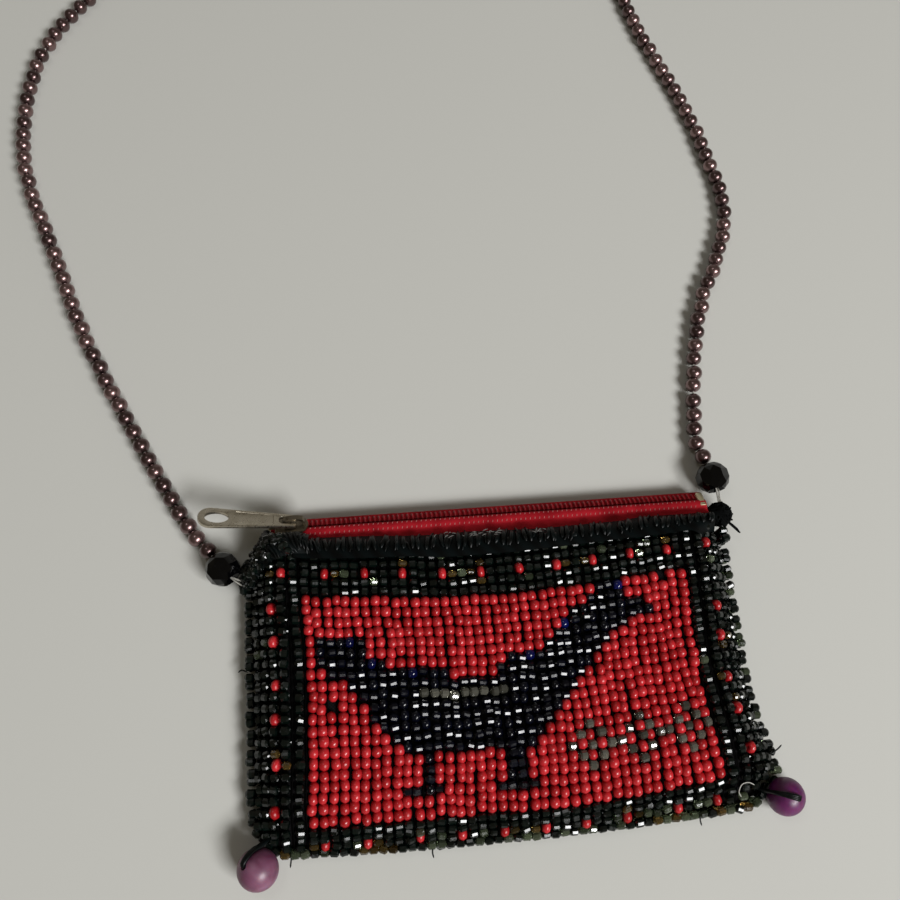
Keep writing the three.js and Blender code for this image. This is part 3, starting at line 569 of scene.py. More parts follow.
# The bird, in bead columns and rows from the middle of the field: tail, back, neck and head, then the beak,
# breast, right foot, belly, left foot and the underside of the tail. Some wing beads are grey and clear.
BIRD = (
    (-19, 5.5), (-19, 6.5), (-14.9, 6.5), (-13.6, 4.9), (-11.5, 3.7), (-6, 3), (-1, 3), (0, 4.8), (4, 5),
    (6, 6.5), (8, 8.5), (10.5, 10.3), (13.2, 10.3), (13.2, 9), (14.8, 8.2), (16, 6.5), (14, 6.3), (12, 5.6),
    (10, 4), (8, 2), (6, 0), (4, -2.5), (2, -4.5), (1, -5), (0.9, -7.2), (2, -7.8), (2, -8.8),
    (-2, -8.8), (-2, -7.8), (-0.8, -7.2), (-0.9, -4.6), (-5, -4.2), (-8, -5), (-8.1, -7.2),
    (-6.5, -7.8), (-6.5, -8.8), (-11, -8.8), (-11, -7.8), (-9.2, -7.2), (-9.1, -5.2),
    (-11, -3.8), (-13, -1.6), (-14, -0.4), (-16, 1.6), (-17, 2.6), (-19, 3.5),
)
WING_COLUMNS = (-9, 0)
WING_ROWS = (0.5, 1.5)
DIAMOND_MIDDLES = ((7.5, -5), (12.5, -5), (17.5, -5))
BLUE_SHARE = 0.12  # of the beads along the bird's back and neck
BIRD_CUT_SHARE = 0.7  # of its beads


def in_bird(column, row):
    """True if a bead's middle is inside the bird's outline."""
    inside = False
    for (x0, y0), (x1, y1) in zip(BIRD, BIRD[1:] + BIRD[:1]):
        if (y0 > row) != (y1 > row) and column < (x1 - x0) * (row - y0) / (y1 - y0) + x0:
            inside = not inside
    return inside


def field_kind(column, row):
    """Which bead the pattern has at a place in the field."""
    if in_bird(column, row):
        in_wing = WING_COLUMNS[0] < column < WING_COLUMNS[1] and WING_ROWS[0] < row < WING_ROWS[1]
        if in_wing:
            return "grey"
        on_back = not in_bird(column, row + 1)
        if on_back and chance.uniform() < BLUE_SHARE:
            return "blue"
        return "bird cut" if chance.uniform() < BIRD_CUT_SHARE else "bird"
    for middle_column, middle_row in DIAMOND_MIDDLES:
        if abs(column - middle_column) + abs(row - middle_row) in (0, 2):
            return "grey"
    return "red"


# Dark border: single red beads in its third row from the top, its third column from each side and its lowest
# row, with clear amber and olive ones about them.
LEFT_DOT_COLUMN = 2
RIGHT_DOT_COLUMN = 47
TOP_DOT_ROW = BOTTOM_ROWS + FIELD_ROWS + 2
TOP_DOT_COLUMNS = (3, *range(7, 47, 4), 47)
BOTTOM_DOT_COLUMNS = (6, 10, 15, 19, 23, 27, 31, 35, 40, 44, 47)
LEFT_DOT_ROWS = (4, 8, 12, 15, 19, 22)
RIGHT_DOT_ROWS = (5, 9, 12, 16, 19)
AMBER_LEFT = 0.1  # share of the beads beside a red one, on the left side and elsewhere
AMBER_SHARE = 0.24
OLIVE_LOWEST = 0.4  # share of the lowest row that is olive, amber ones counted in
PLAIN_SHARE = 0.95  # of the others, plain dark ones


def is_dot(i, j):
    if j == TOP_DOT_ROW:
        return i in TOP_DOT_COLUMNS
    if j == 0:
        return i in BOTTOM_DOT_COLUMNS
    return (i == LEFT_DOT_COLUMN and j in LEFT_DOT_ROWS) or (i == RIGHT_DOT_COLUMN and j in RIGHT_DOT_ROWS)


def border_kind(i, j):
    """Which bead the border has at a column and row."""
    if is_dot(i, j):
        return "dot"
    beside = any(is_dot(i + di, j + dj) for di, dj in ((1, 0), (-1, 0), (0, 1), (0, -1)))
    draw = chance.uniform()
    if beside and draw < (AMBER_LEFT if i < SIDE_COLUMNS else AMBER_SHARE):
        return "amber"
    if j == 0 and draw < OLIVE_LOWEST:
        return "olive"
    return "olive" if draw > PLAIN_SHARE else "cut"


# Front beads
# Opaque red glass in the field, blue-black glass in the bird, and dark green-black cut glass in the border.
# Round beads are tumbled to plump rings; cut ones keep the flat sides of the drawn glass, which glint.
RED_BEAD = 2.62
RED_LENGTH = 2.2
RED_HOLE = 0.44
CUT_BEAD = 1.8
CUT_LENGTH = 1.94
CUT_HOLE = 0.7
BEAD_SIDES = 10
RED_ROUNDING = 0.92
CUT_ROUNDING = 0.36
BEAD_WIDTHS = (0.94, 1.05)  # least and most, as shares of a bead's size
BEAD_LENGTHS = (0.88, 1.08)
WIDE_IN_FIELD = 1.14  # cut beads in line with the field, whose rows stand further apart
WIDE_AMBER = 0.85
WIDE_DOT = 1.08
LONG_DOT = 0.88
LOST_SHARE = 0.004  # of the red beads, broken out of the fabric
BIRD_ROLL = (-0.23, 0.07)  # the bird's cut beads lie on a flat side, with another one towards the light
BEAD_LEAN = 0.11
COLUMN_WAVER = 0.17  # how far the beads stray with their neighbours, sideways and up,
ROW_WAVER = 0.2
BEAD_STRAY = (0.08, 0.06)  # and each on its own
BORDER_STRAY = 0.6  # share of it in the border
BEAD_SLANT = {  # how far the weft draws one end of a bead down, and how much that varies
    "red": (0, 0.07), "dot": (0, 0.07), "bird": (-0.2, 0.1), "blue": (-0.2, 0.1), "bird cut": (-0.19, 0.07),
    "grey": (-0.1, 0.14), "cut": (-0.1, 0.16), "amber": (-0.1, 0.16), "olive": (-0.1, 0.16),
}
round_bead = model_bead(RED_BEAD, RED_LENGTH, RED_HOLE, BEAD_SIDES, RED_ROUNDING, 2)
select_only(round_bead)
bpy.ops.object.shade_smooth_by_angle(angle=math.radians(70))
cut_bead = model_bead(CUT_BEAD, CUT_LENGTH, CUT_HOLE, BEAD_SIDES, CUT_ROUNDING, 1)
select_only(cut_bead)
bpy.ops.object.shade_flat()
red_glass = bead_glass("opaque_red_glass", "#990f15", "#bf242b", 0.32)
dark_glass = bead_glass("green_black_cut_glass", "#010403", "#050e0b", 0.19)
bird_glass = bead_glass("blue_black_glass", "#010107", "#040612", 0.2, bend=1.45)
blue_glass = bead_glass("opaque_blue_glass", "#05082c", "#0c1354", 0.1)
grey_glass = bead_glass("clear_grey_glass", "#66655a", "#b2b0a1", 0.1, clear=0.8, bend=1.62)
amber_glass = bead_glass("clear_amber_glass", "#4f3d18", "#977b41", 0.1, clear=0.85, bend=1.6)
olive_glass = bead_glass("clear_olive_glass", "#37442f", "#8d9a7c", 0.12, clear=0.8, bend=1.6)


def wander(spread):
    """Random offsets for all beads, each much like those above and below it, so that columns waver."""
    steps = chance.normal(0, spread / 3 ** 0.5, (len(row_y) + 2, len(column_x)))
    return steps[:-2] + steps[1:-1] + steps[2:]


front_seats = {kind: [] for kind in BEAD_SLANT}
aside = wander(COLUMN_WAVER)
astray = wander(ROW_WAVER)
for j, y in enumerate(row_y):
    for i, x in enumerate(column_x):
        if not in_fabric(x, y):
            continue
        in_field = SIDE_COLUMNS <= i < SIDE_COLUMNS + FIELD_COLUMNS and abs(y) < field_y
        if in_field:
            kind = field_kind(i - SIDE_COLUMNS - FIELD_COLUMNS / 2 + 0.5, j - BOTTOM_ROWS - FIELD_ROWS // 2)
        else:
            kind = border_kind(i, j)
        if kind == "red" and chance.uniform() < LOST_SHARE:
            continue
        is_cut = kind in ("cut", "amber", "olive", "grey", "bird cut")
        along, out = fabric_axes(x, y)
        wide = chance.uniform(*BEAD_WIDTHS)
        long = chance.uniform(*BEAD_LENGTHS)
        depth = (CUT_BEAD if is_cut else RED_BEAD) / 2
        slant = chance.normal(*BEAD_SLANT[kind])
        roll = chance.normal(*BIRD_ROLL) if kind == "bird cut" else chance.uniform(0, 2 * math.pi)
        if is_cut and abs(y) < field_y and kind != "bird cut":
            wide *= WIDE_IN_FIELD
        if kind == "amber":
            wide *= WIDE_AMBER
        if kind == "dot":
            wide *= WIDE_DOT
            long *= LONG_DOT
        stray_x = aside[j, i] + chance.normal(0, BEAD_STRAY[0])
        stray_y = astray[j, i] + chance.normal(0, BEAD_STRAY[1])
        stray = np.array((stray_x, stray_y, 0)) * (1 if in_field else BORDER_STRAY)
        front_seats[kind].append(seat(
            crest(x, y) - out * depth + stray, along + out * slant, out, (long, wide, wide),
            lean=chance.normal(0, BEAD_LEAN), roll=roll, shade=chance.uniform(0, 1),
        ))
front_pieces = (
    ("front_red_beads", round_bead, "red", red_glass, "red_beads", "red_field_beads"),
    ("front_bird_beads", round_bead, "bird", bird_glass, "bird_beads", "bird_beads"),
    ("front_bird_cut_beads", cut_bead, "bird cut", bird_glass, "bird_beads", None),
    ("front_blue_beads", round_bead, "blue", blue_glass, "bird_beads", None),
    ("front_grey_beads", cut_bead, "grey", grey_glass, "bird_beads", None),
    ("front_border_cut_beads", cut_bead, "cut", dark_glass, "dark_beads", "front_border_beads"),
    ("front_border_red_beads", round_bead, "dot", red_glass, "red_beads", None),
    ("front_border_amber_beads", cut_bead, "amber", amber_glass, "dark_beads", None),
    ("front_border_olive_beads", cut_bead, "olive", olive_glass, "dark_beads", None),
)
for name, bead, kind, glass, slot, node_name in front_pieces:
    piece = string_beads(name, bead, front_seats[kind], glass)
    if node_name:
        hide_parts(node_name)


# Back beads
# The back lies flat on the table: the same dark border round a plain red field, on its own warp. Its beads
# sit more evenly than those of the front.
BACK_WIDTHS = (0.93, 1.0)
BACK_LENGTHS = (0.92, 1.06)
BACK_STRAY = (0.1, 0.06)
BACK_LEAN = 0.05
back_seats = {"red": [], "cut": []}
for j, y in enumerate(row_y):
    for i in range(FIELD_COLUMNS + 2 * SIDE_COLUMNS):
        x = (i + 0.5) * COLUMN_PITCH - half_width
        if not in_fabric(x, y):
            continue
        kind = "red" if abs(x) < field_x and abs(y) < field_y else "cut"
        depth = (CUT_BEAD if kind == "cut" else RED_BEAD) / 2
        wide = chance.uniform(*BACK_WIDTHS)
        stray = np.array((chance.normal(0, BACK_STRAY[0]), chance.normal(0, BACK_STRAY[1]), 0))
        back_seats[kind].append(seat(
            np.array((x, y - sag(x, y), depth)) + stray, (1, 0, 0), (0, 0, 1),
            (chance.uniform(*BACK_LENGTHS), wide, wide), lean=chance.normal(0, BACK_LEAN),
            roll=chance.uniform(0, 2 * math.pi), shade=chance.uniform(0, 1),
        ))
back_red = string_beads("back_red_beads", round_bead, back_seats["red"], red_glass)
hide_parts("back_field_beads")
back_cut = string_beads("back_border_cut_beads", cut_bead, back_seats["cut"], dark_glass)
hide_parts("back_border_beads")


# Warp threads and lining
# Black cotton warp runs up the fabric between the columns. Behind the beads is the lining, a bag of plain
# dark cotton that is sewn to the fabric all round and open at the mouth.
WARP_THREAD = 0.3
WARP_DEPTH = 1.3
LINING_DEPTH = 1.95
LINING_BACK = 2.15
LINING_THICKNESS = 0.25
LINING_SIDE = 0.9  # in from the fabric's sides
LINING_LOW = 0.8  # up from its bottom
LINING_SHORT = 1.4  # less than the fabric's height
SLANTING_BANDS = math.tau / 10 / 3 ** 0.5  # spacing of a wave pattern's diagonal bands at a scale of 1


def black_cotton(name, dark, light, ply_pitch, roughness, gloss):
    """Black cotton thread, slightly green in the light, with its twisted plies as slanting ridges.

    The plies are drawn some millimetres apart, because real ones are too fine to show. Their crests are
    painted lighter and the grooves between them darker: painted shade.
    """
    material = new_material(name)
    place = node(material, "ShaderNodeTexCoord", {}).outputs["Object"]
    plies = node(material, "ShaderNodeTexWave", {
        "Vector": place, "Scale": SLANTING_BANDS / (ply_pitch * MM),
        "Distortion": 2.0, "Detail": 2.0, "Detail Scale": 1.5,
    }, bands_direction="DIAGONAL")
    # The colour follows the plies' height: painted shade in the grooves, while the green tint is the
    # thread's own.
    colour = node(material, "ShaderNodeMix", {
        0: plies.outputs["Fac"], 6: linear(dark), 7: linear(light),
    }, data_type="RGBA")
    ridges = node(material, "ShaderNodeBump", {
        "Height": plies.outputs["Fac"], "Strength": 0.5, "Distance": 0.15 * MM,
    })
    shader = node(material, "ShaderNodeBsdfPrincipled", {
        "Base Color": colour.outputs[2], "Roughness": roughness, "Specular IOR Level": gloss,
        "Normal": ridges.outputs[0],
    })
    node(material, "ShaderNodeOutputMaterial", {"Surface": shader.outputs[0]})
    return material


def dark_lining_cotton():
    """Plain woven dark cotton: over-and-under threads a third of a millimetre apart."""
    material = new_material("dark_lining_cotton")
    thread_pitch = 0.35
    place = node(material, "ShaderNodeTexCoord", {}).outputs["Object"]
    weave = node(material, "ShaderNodeTexChecker", {
        "Vector": place, "Scale": 1 / (thread_pitch * MM),
        "Color1": linear("#070607"), "Color2": linear("#110f11"),
    })
    bump = node(material, "ShaderNodeBump", {
        "Height": weave.outputs["Fac"], "Strength": 0.4, "Distance": 0.1 * MM,
    })
    shader = node(material, "ShaderNodeBsdfPrincipled", {
        "Base Color": weave.outputs["Color"], "Roughness": 0.9, "Specular IOR Level": 0.1,
        "Normal": bump.outputs[0],
    })
    node(material, "ShaderNodeOutputMaterial", {"Surface": shader.outputs[0]})
    return material


def shaped_grid(name, columns, rows, place, material, thickness, body="purse"):
    """A sheet: a grid whose points go where place(u, v) puts them, u and v from 0 to 1, then thickened."""
    bpy.ops.object.select_all(action="DESELECT")
    bpy.ops.mesh.primitive_grid_add(x_subdivisions=columns, y_subdivisions=rows, size=1)
    piece = bpy.context.object
    piece.name = name
    for vertex in piece.data.vertices:
        vertex.co = in_frame(place(vertex.co.x + 0.5, vertex.co.y + 0.5))
    wall = piece.modifiers.new("thickness", "SOLIDIFY")
    wall.thickness = thickness * MM
    wall.offset = 0
    bpy.ops.object.modifier_apply(modifier=wall.name)
    bpy.ops.object.shade_smooth_by_angle(angle=math.radians(50))
    piece.data.materials.append(material)
    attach(piece, body)
    return piece


def lining_place(u, v):
    """Where the lining runs across the fabric, inside its cut corners."""
    y = panel_bottom + LINING_LOW + v * (panel_top - panel_bottom - LINING_SHORT)
    inset = max(0.0, BOTTOM_CORNER_CUT - y + panel_bottom) + max(0.0, TOP_CORNER_CUT - panel_top + y)
    return (2 * u - 1) * (half_width - LINING_SIDE - inset), y


def front_lining_place(u, v):
    x, y = lining_place(u, v)
    _, out = fabric_axes(x, y)
    return crest(x, y) - out * LINING_DEPTH


def back_lining_place(u, v):
    x, y = lining_place(u, v)
    return np.array((x, y - sag(x, y), LINING_BACK))


warp_cotton = black_cotton("black_warp_cotton", "#010101", "#050404", 2.9, 0.9, 0.05)
lining_cotton = dark_lining_cotton()
warp_x = [(a + b) / 2 for a, b in zip(column_x, column_x[1:])]
front_warp = []
back_warp = []
for i, x in enumerate(warp_x):
    flat_x = (i + 1) * COLUMN_PITCH - half_width
    reach = [y for y in np.linspace(panel_bottom, panel_top, 26) if in_fabric(x, y)]
    front_warp.append([crest(x, y) - fabric_axes(x, y)[1] * WARP_DEPTH for y in reach])
    back_warp.append([(flat_x, y - sag(flat_x, y), WARP_DEPTH) for y in reach])
threads("front_warp", front_warp, WARP_THREAD, warp_cotton)
threads("back_warp", back_warp, WARP_THREAD, warp_cotton)
front_lining = shaped_grid(
    "front_lining", 60, 34, front_lining_place, lining_cotton, LINING_THICKNESS,
)
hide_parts("lining")
back_lining = shaped_grid(
    "back_lining", 30, 16, back_lining_place, lining_cotton, LINING_THICKNESS,
)


# Bead edging
# Beads sewn over the rim close the two fabrics. Along the sides they lie in line with the rows, drawn
# together in pairs by the thread: black on the left, some clear olive ones on the right. Along the bottom
# they lie along the rim, olive, amber and black.
EDGE_PITCH = 2.02
EDGE_LAYERS = (3.35, 1.55)  # heights of the two beads over one another
CORNER_LAYERS = (6.6, 5.0, 3.35, 1.55)  # and of those that close the right corner up to the mouth
EDGE_OUT = 0.62  # how far out of the rim a bead's middle stands
PAIR_OUT = 0.18  # and every second pair further
BOTTOM_IN = 0.2  # and the bottom's beads less
PAIR_PULL = 0.24
EDGE_SIZES = (0.98, 1.1)  # least and most, as shares of a bead's size
EDGE_STRAY = (0.08, 0.12)  # outwards and up
EDGE_TILT = 0.14
EDGE_LEAN = 0.12
MOUTH_END = 1.2  # in from the right side and above the fabric, where the edging ends
rim_corners = (
    (-half_width, panel_top - TOP_CORNER_CUT), (-half_width, panel_bottom + BOTTOM_CORNER_CUT),
    (-half_width + BOTTOM_CORNER_CUT, panel_bottom), (half_width - BOTTOM_CORNER_CUT, panel_bottom),
    (half_width, panel_bottom + BOTTOM_CORNER_CUT), (half_width, panel_top - TOP_CORNER_CUT),
    (half_width - MOUTH_END, panel_top + MOUTH_END),
)
EDGE_COLOURS = (  # shares of olive and amber beads, from the left side round to the right one
    (0.0, 0.0), (0.1, 0.0), (0.38, 0.24), (0.3, 0.1), (0.3, 0.0), (0.1, 0.0),
)
edge_seats = {"cut": [], "olive": [], "amber": []}
for (start, stop), (olive, amber) in zip(zip(rim_corners, rim_corners[1:]), EDGE_COLOURS):
    count = round(math.dist(start, stop) / EDGE_PITCH)
    along = unit((*np.subtract(stop, start), 0.0))
    outward = np.array((along[1], -along[0], 0.0))
    on_side = abs(along[0]) < 0.5
    for k in range(count):
        x, y = (a + (b - a) * (k + 0.5) / count for a, b in zip(start, stop))
        rim = np.array((x + rim_pull(x, y), y - sag(x, y), 0.0))
        pair = PAIR_PULL if k % 2 else -PAIR_PULL
        stands_out = EDGE_OUT + (PAIR_OUT if (k // 2) % 2 else 0.0) if on_side else EDGE_OUT - BOTTOM_IN
        for height in EDGE_LAYERS if y < panel_top - TOP_CORNER_CUT else CORNER_LAYERS:
            draw = chance.uniform()
            kind = "olive" if draw < olive else "amber" if draw < olive + amber else "cut"
            size = chance.uniform(*EDGE_SIZES)
            spot = rim + outward * (stands_out + chance.normal(0, EDGE_STRAY[0])) - along * pair * on_side
            spot[2] = height + chance.normal(0, EDGE_STRAY[1])
            lie = outward if on_side else along
            edge_seats[kind].append(seat(
                spot, lie + (0, 0, chance.normal(0, EDGE_TILT)), (0, 0, 1), (size * 0.98, size, size),
                lean=chance.normal(0, EDGE_LEAN), roll=chance.uniform(0, 6), shade=chance.uniform(0, 1),
            ))
edging_black = string_beads("edging_black_beads", cut_bead, edge_seats["cut"], dark_glass)
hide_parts("left_edge_beads")
edging_olive = string_beads("edging_olive_beads", cut_bead, edge_seats["olive"], olive_glass)
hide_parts("right_edge_beads", "bottom_edge_beads")
string_beads("edging_amber_beads", cut_bead, edge_seats["amber"], amber_glass)


# Zip tapes
# Two woven polyester tapes in dark red. The front one lies out flat behind the mouth and runs up over its
# coil, and the back one turns under to the back fabric.
ZIP_TILT = math.radians(26)
TAPE = 0.32
TAPE_OUTER = 7.9  # zip's middle to the tape's sewn edge
ZIP_LEFT = -49.975
ZIP_RIGHT = 50.875
TAPE_LEFT_END = -50.9
TAPE_RIGHT_END = 52.8
TAPE_TURNED_IN = 2.5  # of the front one's sewn edge, at its right end
TURNED_FROM = 44.0  # place along the zip where that starts
TAPE_SEWN = (0.8, 2.2)  # the sewn edge, past the fabric's upper edge and below the crown
BACK_TAPE_LOW = 1.5  # height of the back one where it is sewn
TAPE_RIPPLES = ((0.1, 0.31, 0), (0.07, 0.83, 1))  # height, radians to a millimetre, and start
STRAIGHT_BANDS = math.tau / 20  # spacing of a wave pattern's straight bands at a scale of 1
zip_y = panel_top + TAPE_SEWN[0] + TAPE_OUTER * math.cos(ZIP_TILT)
zip_z = CROWN - TAPE_SEWN[1] - TAPE_OUTER * math.sin(ZIP_TILT)
OVER_COIL = (  # across the zip and out of it, from the flat tape up over the coil to its edge
    (2.9, 0.0), (2.5, 0.1), (2.2, 0.42), (1.8, 0.66), (1.2, 0.76), (0.7, 0.74), (0.4, 0.6),
)


def zip_point(x, across, out):
    """A point by its place along the zip, across it from front to back, and out of it."""
    return np.array((
        x,
        zip_y + across * math.cos(ZIP_TILT) + out * math.sin(ZIP_TILT),
        zip_z - across * math.sin(ZIP_TILT) + out * math.cos(ZIP_TILT),
    ))


def red_woven_tape():
    """Woven polyester tape: ribs across the length, dull red, a little faded and rubbed."""
    material = new_material("red_woven_polyester")
    place = node(material, "ShaderNodeTexCoord", {}).outputs["Object"]
    rib_pitch = 3.77  # drawn coarser than the weave, which is too fine to show
    patches_per_mm = 0.23
    ribs = node(material, "ShaderNodeTexWave", {
        "Vector": place, "Scale": STRAIGHT_BANDS / (rib_pitch * MM), "Distortion": 1.5, "Detail": 1.0,
    }, bands_direction="X")
    fade = node(material, "ShaderNodeTexNoise", {
        "Vector": place, "Scale": patches_per_mm / MM, "Detail": 4.0,
    })
    tone = node(material, "ShaderNodeMapRange", {
        "Value": fade.outputs["Fac"], "From Min": 0.3, "From Max": 0.7,
    })
    colour = node(material, "ShaderNodeMix", {
        0: tone.outputs[0], 6: linear("#8a0d18"), 7: linear("#b31d29"),
    }, data_type="RGBA")
    bump = node(material, "ShaderNodeBump", {
        "Height": ribs.outputs["Fac"], "Strength": 0.4, "Distance": 0.1 * MM,
    })
    shader = node(material, "ShaderNodeBsdfPrincipled", {
        "Base Color": colour.outputs[2], "Roughness": 0.75, "Specular IOR Level": 0.12,
        "Normal": bump.outputs[0],
    })
    node(material, "ShaderNodeOutputMaterial", {"Surface": shader.outputs[0]})
    return material


def along_line(points, share_of_length):
    """The point at a share of the length of a line of points."""
    points = np.array(points, float)
    travelled = np.concatenate(([0.0], np.cumsum(np.linalg.norm(np.diff(points, axis=0), axis=1))))
    return np.array([np.interp(share_of_length * travelled[-1], travelled, column) for column in points.T])


def bent(start, knee, end, t):
    """A point on the bow from one point to another, drawn out towards the knee."""
    return start * (1 - t) ** 2 + knee * 2 * t * (1 - t) + end * t ** 2


def front_tape_place(u, v):
    x = TAPE_LEFT_END + u * (TAPE_RIGHT_END - TAPE_LEFT_END)
    outer = TAPE_OUTER - TAPE_TURNED_IN * share(x, TURNED_FROM, TAPE_RIGHT_END)
    across, out = along_line(((outer, 0.0), (5.0, 0.0), *OVER_COIL), v)
    wave = sum(height * math.sin(x * rate + start) for height, rate, start in TAPE_RIPPLES)
    return zip_point(x, -across, out + wave * share(across, 3, 5) * share(outer - across, 0, 1))


def back_tape_place(u, v):
    """From the coil across the zip, round the turn and under to the back fabric."""
    x = TAPE_LEFT_END + u * (TAPE_RIGHT_END - TAPE_LEFT_END)
    edge = zip_point(x, 3.05, -0.34)
    foot = np.array((x, edge[1] - (edge[2] - BACK_TAPE_LOW), BACK_TAPE_LOW))
    corner = np.array((x, edge[1] + 0.5, BACK_TAPE_LOW))
    turn = [bent(edge, corner, foot, t) for t in np.linspace(0, 1, 7)]
    sewn = (x, panel_top + TAPE_SEWN[0], BACK_TAPE_LOW)
    return along_line((zip_point(x, 0.9, -0.3), *turn, sewn), v)


tape_cloth = red_woven_tape()
front_tape = shaped_grid("front_tape", 110, 22, front_tape_place, tape_cloth, TAPE)
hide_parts("front_zip_tape")
back_tape = shaped_grid("back_tape", 80, 36, back_tape_place, tape_cloth, TAPE)
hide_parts("back_zip_tape")


# Zip coils
# Each tape carries a coil of red nylon monofilament, one loop to a tooth. Two rows of pale sewing thread
# hold the front one inside its tape and show as dots, and the loops of the back one lie open behind it.
TOOTH_PITCH = 1.12
TOOTH_WIRE = 0.52
STITCH_THREAD = 0.2
STITCH_ROWS = ((2.1, 0.64), (0.9, 0.93))  # across and out
teeth = round((ZIP_RIGHT - ZIP_LEFT) / TOOTH_PITCH)


def dyed_fibre(name, dark, light, patches_per_mm, finish):
    """Drawn or spun fibre: two shades that vary along it, waxy on nylon and matt on sewing thread."""
    material = new_material(name)
    place = node(material, "ShaderNodeTexCoord", {}).outputs["Object"]
    patches = node(material, "ShaderNodeTexNoise", {
        "Vector": place, "Scale": patches_per_mm / MM, "Detail": 2.0,
    })
    colour = node(material, "ShaderNodeMix", {
        0: patches.outputs["Fac"], 6: linear(dark), 7: linear(light),
    }, data_type="RGBA")
    shader = node(material, "ShaderNodeBsdfPrincipled", {"Base Color": colour.outputs[2], **finish})
    node(material, "ShaderNodeOutputMaterial", {"Surface": shader.outputs[0]})
    return material


WAXY = {"Roughness": 0.35, "IOR": 1.53}
SPUN = {"Roughness": 0.6, "Sheen Weight": 0.2}
coil_nylon = dyed_fibre("red_nylon_coil", "#6a0a14", "#a31c28", 0.7, WAXY)
pale_thread = dyed_fibre("pale_red_sewing_thread", "#a03c40", "#cf8f8c", 2.5, SPUN)
for name, side, height, sunk in (("front", -1, 0.26, 0.0), ("back", 1, 0.36, 0.26)):
    tooth_x = [ZIP_LEFT + (k + 0.5 + 0.25 * side) * (ZIP_RIGHT - ZIP_LEFT) / teeth for k in range(teeth)]
    loop = (  # along the zip, across and out
        (-0.26, 2.2, 0.2), (-0.2, 1.6, height), (-0.12, 0.75, height), (0, 0.48, 0),
        (0.12, 0.75, -height), (0.2, 1.6, -height), (0.26, 2.2, -0.1),
    )
    loops = [[zip_point(x + dx, side * across, out - sunk) for dx, across, out in loop] for x in tooth_x]
    coil = threads(name + "_coil", loops, TOOTH_WIRE, coil_nylon)
    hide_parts(name + "_zip_coil")
    if side < 0:
        dots = [
            [
                zip_point(x - 0.08, -across - 0.34, out - 0.2), zip_point(x, -across, out + 0.02),
                zip_point(x + 0.08, -across + 0.3, out - 0.14),
            ]
            for x in tooth_x for across, out in STITCH_ROWS
        ]
        threads("front_coil_stitches", dots, STITCH_THREAD, pale_thread)


# Zip stops
# Small clamps of plated metal: one across both rows at the right end, one on each row at the left. Each is
# a strip bent round the teeth, so its edges are rounded.
STOP_LENGTH = 1.6
STOP_HEIGHT = 0.9
STOP_ROUNDING = 0.3


def worn_nickel(name, dark, light, roughness):
    """Nickel plate worn warm: fine scuffs in its gloss and darker patches where the plate is thin."""
    material = new_material(name)
    place = node(material, "ShaderNodeTexCoord", {}).outputs["Object"]
    patches_per_mm = 0.42
    scuffs_per_mm = 1.8
    wear = node(material, "ShaderNodeTexNoise", {
        "Vector": place, "Scale": patches_per_mm / MM, "Detail": 5.0,
    })
    colour = node(material, "ShaderNodeMix", {
        0: wear.outputs["Fac"], 6: linear(dark), 7: linear(light),
    }, data_type="RGBA")
    scuffs = node(material, "ShaderNodeTexNoise", {
        "Vector": place, "Scale": scuffs_per_mm / MM, "Detail": 4.0, "Distortion": 1.5,
    })
    rough = node(material, "ShaderNodeMapRange", {
        "Value": scuffs.outputs["Fac"], "From Min": 0.3, "From Max": 0.7,
        "To Min": roughness * 0.7, "To Max": roughness * 1.5,
    })
    shader = node(material, "ShaderNodeBsdfPrincipled", {
        "Base Color": colour.outputs[2], "Metallic": 1.0, "Roughness": rough.outputs[0],
    })
    node(material, "ShaderNodeOutputMaterial", {"Surface": shader.outputs[0]})
    return material


def metal_block(name, low, high, rounding, taper=1.0):
    """A block by its corners along, across and out of the zip: edges rounded, right end narrowed."""
    bpy.ops.object.select_all(action="DESELECT")
    bpy.ops.mesh.primitive_cube_add(size=1)
    block = bpy.context.object
    block.name = name
    low, high = np.array(low, float), np.array(high, float)
    for vertex in block.data.vertices:
        corner = (low + high) / 2 + np.array(vertex.co) * (high - low)
        corner[1] *= taper if vertex.co.x > 0 else 1.0
        vertex.co = in_frame(zip_point(*corner))
    bpy.ops.object.mode_set(mode="EDIT")
    bpy.ops.mesh.select_all(action="SELECT")
    bpy.ops.mesh.bevel(offset=rounding * MM, segments=2, affect="EDGES", profile=0.5)
    bpy.ops.mesh.normals_make_consistent(inside=False)
    bpy.ops.object.mode_set(mode="OBJECT")
    bpy.ops.object.shade_smooth_by_angle(angle=math.radians(40))
    return block


def join(name, pieces):
    """Several meshes as one piece."""
    bpy.ops.object.select_all(action="DESELECT")
    for piece in pieces:
        piece.select_set(True)
    bpy.context.view_layer.objects.active = pieces[0]
    bpy.ops.object.join()
    pieces[0].name = name
    return pieces[0]


stop_metal = worn_nickel("pale_gold_plate", "#c9b98e", "#f4ecd2", 0.45)
for node_name, left, front, back in (
    ("zip_bottom_stop", 51.175, -2.1, 2.1), ("front_top_stop", -51.6, -2.1, -0.55),
    ("back_top_stop", -51.6, 0.55, 2.1),
):
    clamp = metal_block(
        node_name + "_clamp", (left, front, -STOP_HEIGHT), (left + STOP_LENGTH, back, STOP_HEIGHT),
        STOP_ROUNDING,
    )
    clamp.data.materials.append(stop_metal)
    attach(clamp, "purse")
    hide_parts(node_name)


